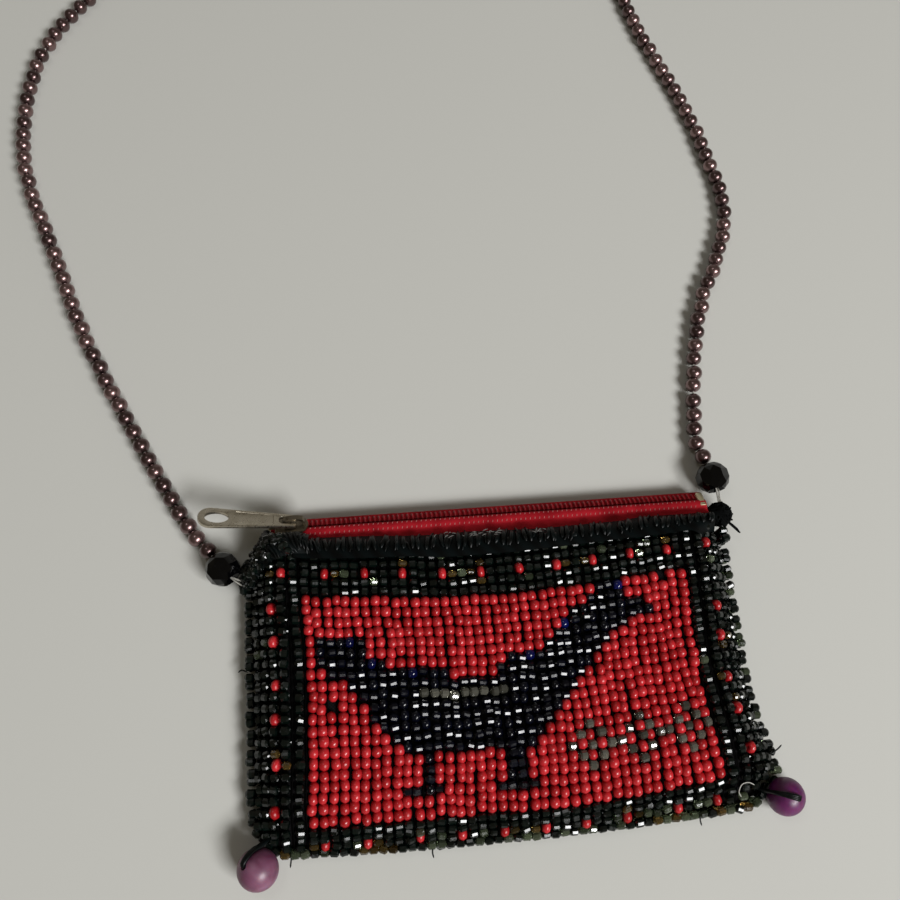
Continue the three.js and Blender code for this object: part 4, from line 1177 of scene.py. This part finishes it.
# Zip slider
# A die-cast slider in worn nickel: two plates joined by a post, with turned-in flanges that run along the
# tapes, narrower towards the closed coil, and an arched bail on top for the pull.
SLIDER_X = -45.475
SLIDER_LEFT = -49.87
SLIDER_RIGHT = -42.2
SLIDER_WIDE = 2.95
PLATE_LOW = 1.14
PLATE_HIGH = 1.78
FLANGE_LOW = 0.57
FLANGE = 0.45
FLANGE_TAPER = 0.8
SLIDER_CUT = 0.7  # across its left corners
SLIDER_FLANK = 2.2  # from its left end to where the flanks draw in
SLIDER_NOSE = (1.9, 2.3)  # its round right end: length and half width
SLIDER_ROUNDING = 0.24
POST_HALF = 0.24
BAIL = (  # along the zip from the slider's middle, and out
    (-2.35, 1.6), (-2.3, 2.7), (-1.95, 3.45), (-1.2, 3.75), (0, 3.82), (1.2, 3.75), (1.95, 3.45),
    (2.3, 2.7), (2.35, 1.6),
)
BAIL_HALF_WIDTH = 0.65
BAIL_THICKNESS = 0.6
# The slider's nickel is the pull's, painted darker as painted shade under the stitched corner; its patches
# and scuffs are wear.
slider_metal = worn_nickel("worn_nickel_painted_shaded", "#574f43", "#8c8271", 0.34)


def flat_plate(name, outline, low, high):
    """A plate over an outline of points, as a filled ring that is extruded."""
    bpy.ops.object.select_all(action="DESELECT")
    bpy.ops.mesh.primitive_circle_add(vertices=len(outline), radius=1, fill_type="NGON")
    plate = bpy.context.object
    plate.name = name
    for vertex, (x, y) in zip(plate.data.vertices, outline):
        vertex.co = (x * MM, y * MM, low * MM)
    bpy.ops.object.mode_set(mode="EDIT")
    bpy.ops.mesh.select_all(action="SELECT")
    bpy.ops.mesh.extrude_region_move(TRANSFORM_OT_translate={"value": (0, 0, (high - low) * MM)})
    turn_outwards()
    return plate


def round_edges(piece, width):
    rounded = piece.modifiers.new("rounded", "BEVEL")
    rounded.width = width * MM
    rounded.segments = 2
    rounded.limit_method = "ANGLE"
    rounded.angle_limit = math.radians(40)
    select_only(piece)
    bpy.ops.object.modifier_apply(modifier=rounded.name)
    bpy.ops.object.shade_smooth_by_angle(angle=math.radians(40))


nose_at = SLIDER_RIGHT - SLIDER_NOSE[0]
slider_outline = [
    (nose_at + SLIDER_NOSE[0] * math.cos(turn), SLIDER_NOSE[1] * math.sin(turn))
    for turn in np.linspace(-math.pi / 2, math.pi / 2, 15)
]
slider_outline += [
    (SLIDER_LEFT + SLIDER_FLANK, SLIDER_WIDE), (SLIDER_LEFT + SLIDER_CUT, SLIDER_WIDE),
    (SLIDER_LEFT, SLIDER_WIDE - SLIDER_CUT), (SLIDER_LEFT, SLIDER_CUT - SLIDER_WIDE),
    (SLIDER_LEFT + SLIDER_CUT, -SLIDER_WIDE), (SLIDER_LEFT + SLIDER_FLANK, -SLIDER_WIDE),
]
slider_parts = []
for side in (-1, 1):
    low, high = sorted((side * PLATE_LOW, side * PLATE_HIGH))
    plate = flat_plate("slider_plate", slider_outline, low, high)
    round_edges(plate, SLIDER_ROUNDING)
    for vertex in plate.data.vertices:
        vertex.co = in_frame(zip_point(*np.array(vertex.co) / MM))
    slider_parts.append(plate)
    for flank in (-1, 1):
        edges = sorted((flank * SLIDER_WIDE, flank * (SLIDER_WIDE - FLANGE)))
        faces = sorted((side * FLANGE_LOW, side * (PLATE_LOW + 0.3)))
        slider_parts.append(metal_block(
            "slider_flange", (SLIDER_LEFT + 0.3, edges[0], faces[0]),
            (nose_at + 0.3, edges[1], faces[1]), 0.12, FLANGE_TAPER,
        ))
slider_parts.append(metal_block(
    "slider_post", (SLIDER_LEFT + 0.1, -POST_HALF, -PLATE_LOW - 0.2),
    (SLIDER_LEFT + 1.9, POST_HALF, PLATE_LOW + 0.2), 0.1,
))


def bail_place(u, v):
    along, out = along_line(BAIL, u)
    return zip_point(SLIDER_X + along, (2 * v - 1) * BAIL_HALF_WIDTH, out)


for part in slider_parts:
    part.data.materials.append(slider_metal)
bail = shaped_grid("slider_bail", 24, 3, bail_place, slider_metal, BAIL_THICKNESS, "slider")
slider = join("slider", [*slider_parts, bail])
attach(slider, "slider")
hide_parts("zip_slider")


# Pull tab
# A stamped plate of worn nickel with a raised rim, a round tip with an oval hole, and a bar at its head
# that hangs in the bail. It lies to the left, a little lifted off the zip.
PULL_LIFT = math.radians(10)
PULL_LENGTH = 21.5
PULL_THICKNESS = 0.88
PULL_HEAD = 1.72  # half widths
PULL_TIP = 2.78
PULL_BAR = 0.44
PULL_RIM = 0.55
PULL_CUT = 0.3  # across the corners of its head and its panel
PULL_ROUNDING = 0.14
PANEL_FROM = 4.6  # sunk panel, from the hinge
PANEL_TO = 13.6
PANEL_DEPTH = 0.16
HOLE_AT = 17.3
HOLE_HALF = (2.7, 1.7)
SLOT_FROM = 0.46
SLOT_TO = 3.4
SLOT_HALF = 1.05
SLOT_CUT = 0.5
HINGE_OUT = 2.6


def pull_width(along):
    """Half the pull's width at a distance from the hinge, along its straight flanks."""
    return PULL_HEAD + (PULL_TIP - PULL_HEAD) * share(along, 0, PULL_LENGTH - PULL_TIP)


def cut_away(piece, cutter):
    """Takes one mesh out of another."""
    cut = piece.modifiers.new("cut", "BOOLEAN")
    cut.operation = "DIFFERENCE"
    cut.object = cutter
    select_only(piece)
    bpy.ops.object.modifier_apply(modifier=cut.name)
    bpy.data.objects.remove(cutter)


def oval(middle, half_x, half_y, count=28):
    turns = (2 * math.pi * k / count for k in range(count))
    return [(middle + half_x * math.cos(turn), half_y * math.sin(turn)) for turn in turns]


tip_at = PULL_LENGTH - PULL_TIP
tip = [
    (tip_at + PULL_TIP * math.sin(turn), PULL_TIP * math.cos(turn)) for turn in np.linspace(0, math.pi, 21)
]
head = [
    (PULL_CUT - PULL_BAR, -PULL_HEAD), (-PULL_BAR, PULL_CUT - PULL_HEAD),
    (-PULL_BAR, PULL_HEAD - PULL_CUT), (PULL_CUT - PULL_BAR, PULL_HEAD),
]
half = PULL_THICKNESS / 2
pull_plate = flat_plate("pull", [*head, *tip], -half, half)
cut_away(pull_plate, flat_plate("hole", oval(HOLE_AT, *HOLE_HALF), -2 * half, 2 * half))
slot_outline = [
    (SLOT_FROM, -SLOT_HALF), (SLOT_TO - SLOT_CUT, -SLOT_HALF), (SLOT_TO, -SLOT_HALF + SLOT_CUT),
    (SLOT_TO, SLOT_HALF - SLOT_CUT), (SLOT_TO - SLOT_CUT, SLOT_HALF), (SLOT_FROM, SLOT_HALF),
]
cut_away(pull_plate, flat_plate("slot", slot_outline, -2 * half, 2 * half))
near = pull_width(PANEL_FROM) - PULL_RIM
wide = pull_width(PANEL_TO) - PULL_RIM
panel = [
    (PANEL_FROM, -near + PULL_CUT), (PANEL_FROM + PULL_CUT, -near),
    (PANEL_TO - 0.6, -wide), (PANEL_TO + 0.2, -wide * 0.5),
    (PANEL_TO + 0.2, wide * 0.5), (PANEL_TO - 0.6, wide),
    (PANEL_FROM + PULL_CUT, near), (PANEL_FROM, near - PULL_CUT),
]
for low, high in ((half - PANEL_DEPTH, 2 * half), (-2 * half, PANEL_DEPTH - half)):
    cut_away(pull_plate, flat_plate("panel", panel, low, high))
round_edges(pull_plate, PULL_ROUNDING)
for vertex in pull_plate.data.vertices:
    along, across, up = np.array(vertex.co) / MM
    vertex.co = in_frame(zip_point(
        SLIDER_X - along * math.cos(PULL_LIFT) + up * math.sin(PULL_LIFT), across,
        HINGE_OUT + along * math.sin(PULL_LIFT) + up * math.cos(PULL_LIFT),
    ))
select_only(pull_plate)
bpy.ops.object.mode_set(mode="EDIT")
turn_outwards()
pull_plate.data.materials.append(worn_nickel("worn_warm_nickel", "#a59b87", "#d8d1c2", 0.3))
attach(pull_plate, "pull")
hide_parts("pull_tab")


# Mouth stitches
# Whip stitches of black thread hold the tapes to the two fabrics, side by side over the edge. At the front
# each is a thick thread with a finer strand beside it, and they end raggedly on the tape. At the back each
# is three fine strands.
STITCH_PITCH = 1.75
STITCH = 1.25
STRAND = 0.6
STRAND_BESIDE = 0.45  # stitch's middle to the strand's
STITCH_LEFT = -46.0
STITCH_RIGHT = 54.0
STITCH_ENDS = (  # place along the zip, and how far up the tape the stitches reach
    (-46, 37.6), (-38, 37.5), (-30, 37.2), (-17, 36.2), (-5, 36.4), (11, 35.8), (20, 36.0), (31, 36.3),
    (36, 37.0), (54, 36.8),
)
STITCH_LOWS = (0.0, 0.16)  # least and most, as shares of the way from the beads to those ends
STITCH_TOPS = (0.76, 0.98)
STRAND_LOWS = (-0.12, 0.5)
STRAND_LENGTHS = (0.4, 0.9)
LONGEST = 1.05
STITCH_LIFTS = (0.1, 0.5)
STRAND_LIFTS = (0.3, 0.8)
MOUTH_BAND = 0.3  # thickness of the cloth under the stitches
BAND_TOP = 0.93  # share of the way that it reaches
BAND_TUCK = 0.3  # how far it is tucked under the beads, and how much further at its right end
RIGHT_TUCK = 0.6
RIGHT_TUCK_FROM = 48.0
RIGHT_TUCK_TO = 53.0


def tape_top(y):
    """Height of the front tape's upper face."""
    return zip_z + (zip_y - y) * math.tan(ZIP_TILT) + TAPE / 2


def over_mouth(x, v, lift):
    """From the last bead row, over the edge, to where the stitches end on the tape."""
    foot = crest(x, panel_top - 0.1)
    y = from_table(STITCH_ENDS, x)
    tip = np.array((x, y, tape_top(y) + 0.12))
    knee = (foot + tip) / 2 + (0, 0.2, 1.1)
    return bent(foot, knee, tip, v) + (0, 0.25 * lift, lift)


def mouth_place(u, v):
    x = STITCH_LEFT + u * (STITCH_RIGHT - STITCH_LEFT)
    tucked = BAND_TUCK + RIGHT_TUCK * share(x, RIGHT_TUCK_FROM, RIGHT_TUCK_TO)
    return over_mouth(x, v * (BAND_TOP + tucked) - tucked, -0.05)


thick_thread = black_cotton("black_stitching_thread", "#010202", "#040a0b", 2.54, 0.38, 0.2)
mouth_cloth = black_cotton("black_mouth_cotton", "#010202", "#040a0b", 2.54, 0.55, 0.1)
mouth_band = shaped_grid("front_mouth_band", 90, 6, mouth_place, mouth_cloth, MOUTH_BAND)
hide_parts("front_mouth_cloth")
stitches = []
strands = []
for k in range(round((STITCH_RIGHT - STITCH_LEFT) / STITCH_PITCH)):
    x = STITCH_LEFT + (k + 0.5) * STITCH_PITCH + chance.normal(0, 0.25)
    slant = chance.normal(0.2, 0.4)
    top = chance.uniform(*STITCH_TOPS)
    low = chance.uniform(*STITCH_LOWS)
    lift = chance.uniform(*STITCH_LIFTS)
    sway = chance.normal(0, 0.3)
    stitches.append([
        over_mouth(
            x + slant * v + sway * math.sin(2.5 * v), low + (top - low) * v, lift * math.sin(math.pi * v),
        )
        for v in np.linspace(0, 1, 8)
    ])
    side = chance.choice((-1, 1), 1)[0]
    low = chance.uniform(*STRAND_LOWS)
    top = min(low + chance.uniform(*STRAND_LENGTHS), LONGEST)
    slant = chance.normal(0.3, 0.7)
    lift = chance.uniform(*STRAND_LIFTS)
    strands.append([
        over_mouth(
            x + side * STRAND_BESIDE + slant * v, low + (top - low) * v,
            lift * (0.4 + 0.6 * math.sin(math.pi * v)),
        )
        for v in np.linspace(0, 1, 7)
    ])
threads("front_mouth_stitches", stitches, STITCH, thick_thread, taper=0.5)
threads("front_mouth_strands", strands, STRAND, thick_thread, taper=0.6)


def under_mouth(x, v):
    """Under the purse, from the last bead row of the back to the back tape."""
    return np.array((x, panel_top - 0.6 + v * 3.6, 0.3 + 0.75 * v))


def under_band_place(u, v):
    return under_mouth(ZIP_LEFT + u * (ZIP_RIGHT - ZIP_LEFT), v * 0.95) + (0, 0, 0.35)


under_band = shaped_grid(
    "back_mouth_band", 60, 4, under_band_place, thick_thread, MOUTH_BAND,
)
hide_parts("back_mouth_cloth")
strands = []
for k in range(round((ZIP_RIGHT - ZIP_LEFT) / STITCH_PITCH)):
    x = ZIP_LEFT + (k + 0.5) * STITCH_PITCH
    slant = chance.normal(0.3, 0.25)
    for beside in (-STRAND_BESIDE, 0, STRAND_BESIDE):
        end = chance.uniform(0.85, LONGEST)
        strands.append([under_mouth(x + beside + slant * v, v) for v in (0, 0.3, 0.6, end)])
threads("back_mouth_stitches", strands, STRAND, thick_thread, taper=0.7)


# Stitched left corner
# Where the zip closes, the corner is sewn over and over with black thread that covers the tape's end and
# half of the slider. Small black beads are caught in the stitches.
CORNER_INNER = (  # along the beadwork, from the left side to the mouth
    (-55.2, 25.5), (-53.6, 28.2), (-51.2, 30.2), (-48.6, 31.2), (-46.2, 31.5), (-43.8, 31.6), (-42.0, 31.6),
)
CORNER_OUTER = (
    (-58.0, 26.6, 2.4), (-57.9, 31.6, 2.6), (-55.6, 35.4, 3.4), (-53.2, 38.6, 6.3), (-51.9, 40.4, 7.3),
    (-50.9, 39.8, 7.4), (-50.3, 38.2, 8.6), (-48.6, 38.5, 9.3), (-45.2, 38.8, 9.4), (-42.0, 37.9, 8.4),
)
CORNER_CLOTH = 0.4  # thickness
CORNER_STITCHES = 60
CORNER_STARTS = ((0.3, 0.55), (-0.05, 0.25))  # where an outer and an inner strand begin across the corner
CORNER_REACHES = (0.4, 0.6)
CORNER_LIFTS = (0.25, 0.6)
CAUGHT_BEADS = 70
CAUGHT_SIZE = (0.85, 0.9, 0.9)
CAUGHT_LIFT = 0.35
CLOTH_ROOM = 0.75  # from the pull, where it lies flat, to the middle of the cloth, of a strand and of a bead
STRAND_ROOM = 0.6
CAUGHT_ROOM = 1.15


def under_pull(spot, room):
    """Presses a point down where the pull comes to lie when it is swung flat onto the zip."""
    x, y, z = spot
    across = (y - zip_y) * math.cos(ZIP_TILT) - (z - zip_z) * math.sin(ZIP_TILT)
    out = (y - zip_y) * math.sin(ZIP_TILT) + (z - zip_z) * math.cos(ZIP_TILT)
    beside = abs(across) - pull_width(max(SLIDER_X - x, 0))
    most = HINGE_OUT - PULL_THICKNESS / 2 - room + 1.5 * max(beside - room, 0)
    if x > SLIDER_X or out < most:
        return spot
    return spot - (out - most) * np.array((0, math.sin(ZIP_TILT), math.cos(ZIP_TILT)))


def over_corner(u, v, lift, room):
    """From the beadwork over the corner's outer edge: u along the corner, v across it."""
    x, y = along_line(CORNER_INNER, u)
    foot = crest(x, y + sag(x, y))
    edge = along_line(CORNER_OUTER, u)
    knee = (foot + edge) / 2 + (-0.6, 0.6, 2.4)
    return under_pull(bent(foot, knee, edge, v) + np.array((-0.3, 0.3, 1.0)) * lift, room)


left_corner = shaped_grid(
    "left_corner_cloth", 30, 12, lambda u, v: over_corner(u, v, 0.0, CLOTH_ROOM),
    thick_thread, CORNER_CLOTH,
)
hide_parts("left_corner_tab")
strands = []
for k in range(CORNER_STITCHES):
    u = (k + 0.5) / CORNER_STITCHES
    for starts in CORNER_STARTS:
        start = chance.uniform(*starts)
        reach = chance.uniform(*CORNER_REACHES)
        slant = chance.normal(0, 0.03)
        lift = chance.uniform(*CORNER_LIFTS)
        strands.append([
            over_corner(
                share(u + slant * v, 0, 1), start + reach * v, lift * (0.5 + math.sin(math.pi * v)) / 1.5,
                STRAND_ROOM,
            )
            for v in np.linspace(0, 1, 6)
        ])
threads("left_corner_stitches", strands, STRAND, thick_thread, taper=0.6)
caught = []
for k in range(CAUGHT_BEADS):
    u, v = chance.uniform(0, 0.75), chance.uniform(0.1, 0.95)
    spot = over_corner(u, v, CAUGHT_LIFT, CAUGHT_ROOM)
    across = over_corner(u, min(v + 0.05, 1), CAUGHT_LIFT, CAUGHT_ROOM) - spot
    along = over_corner(min(u + 0.02, 1), v, CAUGHT_LIFT, CAUGHT_ROOM) - spot
    out = unit(np.cross(across, along))
    caught.append(seat(
        spot, along + chance.normal(0, 0.3, 3), out * np.sign(out[2]), CAUGHT_SIZE,
        lean=chance.normal(0, 0.4), roll=chance.uniform(0, 6), shade=chance.uniform(0, 1),
    ))
string_beads("left_corner_beads", cut_bead, caught, dark_glass)


# Thread knot at the right corner
# Past the zip's right end the thread is knotted into a tuft: turns of black thread round a lumpy core, with
# the cut ends sticking out.
KNOT_MIDDLE = np.array((56.2, 36.8, 5.0))
KNOT_HALF = np.array((2.7, 2.6, 2.3))
KNOT_TURNS = 34
TURN_AT = 1.03  # share of the core's size at which the turns lie
TUFT_ENDS = (
    (57.2, 39.8, 5.6), (55.0, 39.4, 6.0), (58.8, 38.4, 5.4), (59.5, 36.6, 5.2), (60.6, 32.0, 4.6),
    (60.2, 32.5, 4.9),
)
SHORT_TUFTS = 16
SHORT_TUFT_AT = 1.25
TUFT_ROOT = 0.3  # share of the way from the knot's middle to an end
bpy.ops.object.select_all(action="DESELECT")
bpy.ops.mesh.primitive_ico_sphere_add(subdivisions=3, radius=1)
knot = bpy.context.object
knot.name = "right_corner_core"
for vertex in knot.data.vertices:
    x, y, z = vertex.co
    lump = 1 + 0.13 * math.sin(x * 5 + z * 3) + 0.1 * math.sin(y * 6 + 1) + 0.07 * math.sin(z * 9 + x * 4)
    vertex.co = in_frame(KNOT_MIDDLE + np.array(vertex.co) * KNOT_HALF * lump)
bpy.ops.object.shade_smooth()
fuzzy_thread = black_cotton("fuzzy_black_thread", "#010202", "#060808", 2.54, 0.8, 0.06)
knot.data.materials.append(fuzzy_thread)
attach(knot, "purse")
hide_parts("right_corner_knot")
turns = []
for k in range(KNOT_TURNS):
    axis = unit(chance.normal(0, 1, 3))
    side = unit(np.cross(axis, chance.normal(0, 1, 3)))
    other = np.cross(axis, side)
    sweep = np.linspace(0, chance.uniform(2.0, 4.5), 12)
    turns.append([
        KNOT_MIDDLE + (side * math.cos(t) + other * math.sin(t) + axis * 0.3) * KNOT_HALF * TURN_AT
        for t in sweep
    ])
short_tufts = [
    KNOT_MIDDLE + unit(chance.normal(0, 1, 3) + (0.3, 0, 0.6)) * KNOT_HALF * SHORT_TUFT_AT
    for k in range(SHORT_TUFTS)
]
for end in (*TUFT_ENDS, *short_tufts):
    root = KNOT_MIDDLE + (np.array(end) - KNOT_MIDDLE) * TUFT_ROOT
    bow = chance.normal(0, 0.25, 3)
    turns.append(smooth_line((root, (root + end) / 2 + bow, end), 0.5))
threads("right_corner_turns", turns, STRAND, fuzzy_thread, taper=0.6)


# Corner beads
# A round cloudy resin bead hangs at each lower corner, mauve at the left and purple at the right. Thick
# black thread comes from the corner over the bead, goes through its hole and back to the corner.
CORNER_THREAD = 0.8
THREAD_OVER = 0.45  # middle of the thread above the bead
THREAD_TURNS = 3
BALL_SIDES = 36
BALL_RINGS = 18


def cloudy_resin(name, dark, light):
    """Resin bead: two shades clouded into each other, a little light passing in, and a satin polish."""
    material = new_material(name)
    place = node(material, "ShaderNodeTexCoord", {}).outputs["Object"]
    clouds_per_mm = 0.19
    scuffs_per_mm = 1.5
    cloud = node(material, "ShaderNodeTexNoise", {
        "Vector": place, "Scale": clouds_per_mm / MM, "Detail": 3.0, "Distortion": 0.6,
    })
    tone = node(material, "ShaderNodeMapRange", {
        "Value": cloud.outputs["Fac"], "From Min": 0.35, "From Max": 0.65,
    })
    colour = node(material, "ShaderNodeMix", {
        0: tone.outputs[0], 6: linear(dark), 7: linear(light),
    }, data_type="RGBA")
    scuffs = node(material, "ShaderNodeTexNoise", {
        "Vector": place, "Scale": scuffs_per_mm / MM, "Detail": 3.0,
    })
    rough = node(material, "ShaderNodeMapRange", {
        "Value": scuffs.outputs["Fac"], "From Min": 0.3, "From Max": 0.7, "To Min": 0.34, "To Max": 0.5,
    })
    shader = node(material, "ShaderNodeBsdfPrincipled", {
        "Base Color": colour.outputs[2], "Roughness": rough.outputs[0], "IOR": 1.54,
        "Subsurface Weight": 0.25, "Subsurface Scale": 0.002,
    })
    node(material, "ShaderNodeOutputMaterial", {"Surface": shader.outputs[0]})
    return material


for name, middle, diameter, side, hole, dark, light in (
    ("left", (-55.355, -30.99, 4.3), 8.6, -1, (-0.6, 0.25, 0.8), "#5b2744", "#84566f"),
    ("right", (58.605, -27.46, 4.1), 8.2, 1, (0.3, -0.12, 0.95), "#42033e", "#641c58"),
):
    middle = np.array(middle)
    hole = unit(hole)
    bpy.ops.object.select_all(action="DESELECT")
    bpy.ops.mesh.primitive_uv_sphere_add(
        segments=BALL_SIDES, ring_count=BALL_RINGS, radius=diameter / 2 * MM,
    )
    ball = bpy.context.object
    ball.name = name + "_corner_resin"
    bpy.ops.object.mode_set(mode="EDIT")
    pick_faces(ball, lambda spot, normal: abs(spot.z) > diameter * 0.49 * MM)
    bpy.ops.mesh.delete(type="FACE")
    bpy.ops.mesh.select_mode(type="EDGE")
    bpy.ops.mesh.select_all(action="DESELECT")
    bpy.ops.mesh.select_non_manifold()
    bpy.ops.mesh.bridge_edge_loops()
    turn_outwards()
    bpy.ops.object.shade_smooth_by_angle(angle=math.radians(60))
    turn = Vector((0, 0, 1)).rotation_difference(Vector(hole)).to_matrix().to_4x4()
    ball.data.transform(Matrix.Translation(in_frame(middle)) @ turn)
    ball.data.materials.append(cloudy_resin("cloudy_" + name + "_resin", dark, light))
    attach(ball, "purse")
    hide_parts(name + "_corner_bead")
    seam = np.array((
        side * (half_width - BOTTOM_CORNER_CUT / 2), panel_bottom + BOTTOM_CORNER_CUT / 2, RIM_TOP + 0.3,
    ))
    loops = []
    for k in range(THREAD_TURNS):
        start = seam + (side * (k - 1) * 0.5, -(k - 1) * 0.3, 0.2 * (k % 2))
        spread = np.array((0.1 * (k - 1) * side, 0.16 * (k - 1), 0))
        near = unit(start - middle)
        over = [
            middle + unit(near * (1 - t) + (hole + spread * 0.4) * t) * (diameter / 2 + THREAD_OVER)
            for t in np.linspace(0.25, 0.95, 6)
        ]
        loops.append([start - (0, 0, 0.6), start, *over, middle + hole * (diameter / 2 - 0.5), middle])
    loops.append([middle, middle - hole * (diameter / 2 - 0.3), seam * (1, 1, 0) + (0, -0.4, 1.4)])
    loop = threads(name + "_corner_loops", loops, CORNER_THREAD, thick_thread)
    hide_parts(name + "_corner_thread")
bpy.data.objects.remove(round_bead)
bpy.data.objects.remove(cut_bead)


# Loose ends
# Cut ends of the black thread stand out of the edging, a clear nylon end curls at the lower right corner,
# and pale fibres have worked out of the cloth along the mouth.
LOOSE_BLACK = (
    ((-48.4, -28.4, 3.6), (-48.6, -29.8, 3.6), (-48.9, -31.4, 3.0)),
    ((-19.0, -30.0, 3.2), (-19.3, -31.2, 3.4), (-19.1, -32.4, 2.8)),
    ((39.4, -29.2, 3.4), (39.0, -30.4, 3.2), (39.3, -31.6, 2.6)),
    ((56.6, -18.6, 4.4), (58.6, -17.6, 5.0), (59.6, -16.8, 5.2)),
    ((-57.0, 9.0, 3.4), (-58.4, 9.6, 3.2), (-59.2, 9.2, 2.6)),
)
LOOSE_NYLON = (
    ((48.2, -26.6, 5.4), (47.4, -25.4, 6.8), (48.2, -24.0, 7.4), (49.8, -23.8, 7.2), (51.2, -24.4, 6.4)),
)
FRAYED = (-11.0, -5.5, -2.0, 0.6, 10.6)  # places along the mouth, and fibres at each
FRAYED_FIBRES = 7
frayed_ends = []
for x in FRAYED:
    for k in range(FRAYED_FIBRES):
        start = over_mouth(x + chance.normal(0, 0.9), chance.uniform(0.5, 0.82), 1.0)
        run = np.array((chance.uniform(0.4, 1.3), chance.normal(0, 0.4), chance.normal(0, 0.1)))
        frayed_ends.append((start, start + run * 0.5 + (0, 0.1, 0.1), start + run))
pale_fibre = dyed_fibre("pale_cotton_fibre", "#434240", "#75726e", 2.5, SPUN)
for name, ends, diameter, material, slot in (
    ("loose_black_ends", LOOSE_BLACK, 0.34, thick_thread, "black_thread"),
    ("loose_nylon_end", LOOSE_NYLON, 0.22, nylon, "nylon_thread"),
    ("loose_pale_fibres", frayed_ends, 0.2, pale_fibre, "lining_cloth"),
):
    threads(name, [smooth_line(end, 0.4) for end in ends], diameter, material, taper=0.4)


# Stage
# A plain pale table and soft studio light: one lamp to the right and in front gives the glints and the
# short shadow, two weak ones and an even pale surround fill in. Their sizes are in metres.
TABLE = 4.0
SURROUND = 0.11
bpy.ops.object.select_all(action="DESELECT")
bpy.ops.mesh.primitive_plane_add(size=TABLE)
table = bpy.context.object
table.name = "table"
table_paint = new_material("pale_table")
table_shader = node(table_paint, "ShaderNodeBsdfPrincipled", {
    "Base Color": linear("#c6c6c1"), "Roughness": 0.9,
})
node(table_paint, "ShaderNodeOutputMaterial", {"Surface": table_shader.outputs[0]})
table.data.materials.append(table_paint)


def studio_lamp(name, direction, distance, width, depth, power):
    """A soft lamp, width along the purse by depth, that faces the purse."""
    data = bpy.data.lights.new(name, "AREA")
    data.shape = "RECTANGLE"
    data.size = width
    data.size_y = depth
    data.energy = power
    lamp = bpy.data.objects.new(name, data)
    bpy.context.collection.objects.link(lamp)
    lamp.location = Vector(direction).normalized() * distance
    lamp.rotation_euler = lamp.location.to_track_quat("Z", "Y").to_euler()


studio_lamp("strip_lamp", (0.45, -0.57, 0.68), distance=1.7, width=0.9, depth=0.4, power=33.0)
studio_lamp("back_panel", (0.1, 0.92, 0.36), distance=0.9, width=0.9, depth=0.5, power=0.28)
studio_lamp("small_lamp", (-0.3, 0.25, 0.92), distance=0.85, width=0.22, depth=0.22, power=0.4)

world = bpy.data.worlds.new("surround")
bpy.context.scene.world = world
world.use_nodes = True
background = world.node_tree.nodes["Background"]
background.inputs["Color"].default_value = linear("#f3e6c8")
background.inputs["Strength"].default_value = SURROUND
bpy.context.scene.view_settings.view_transform = "Standard"
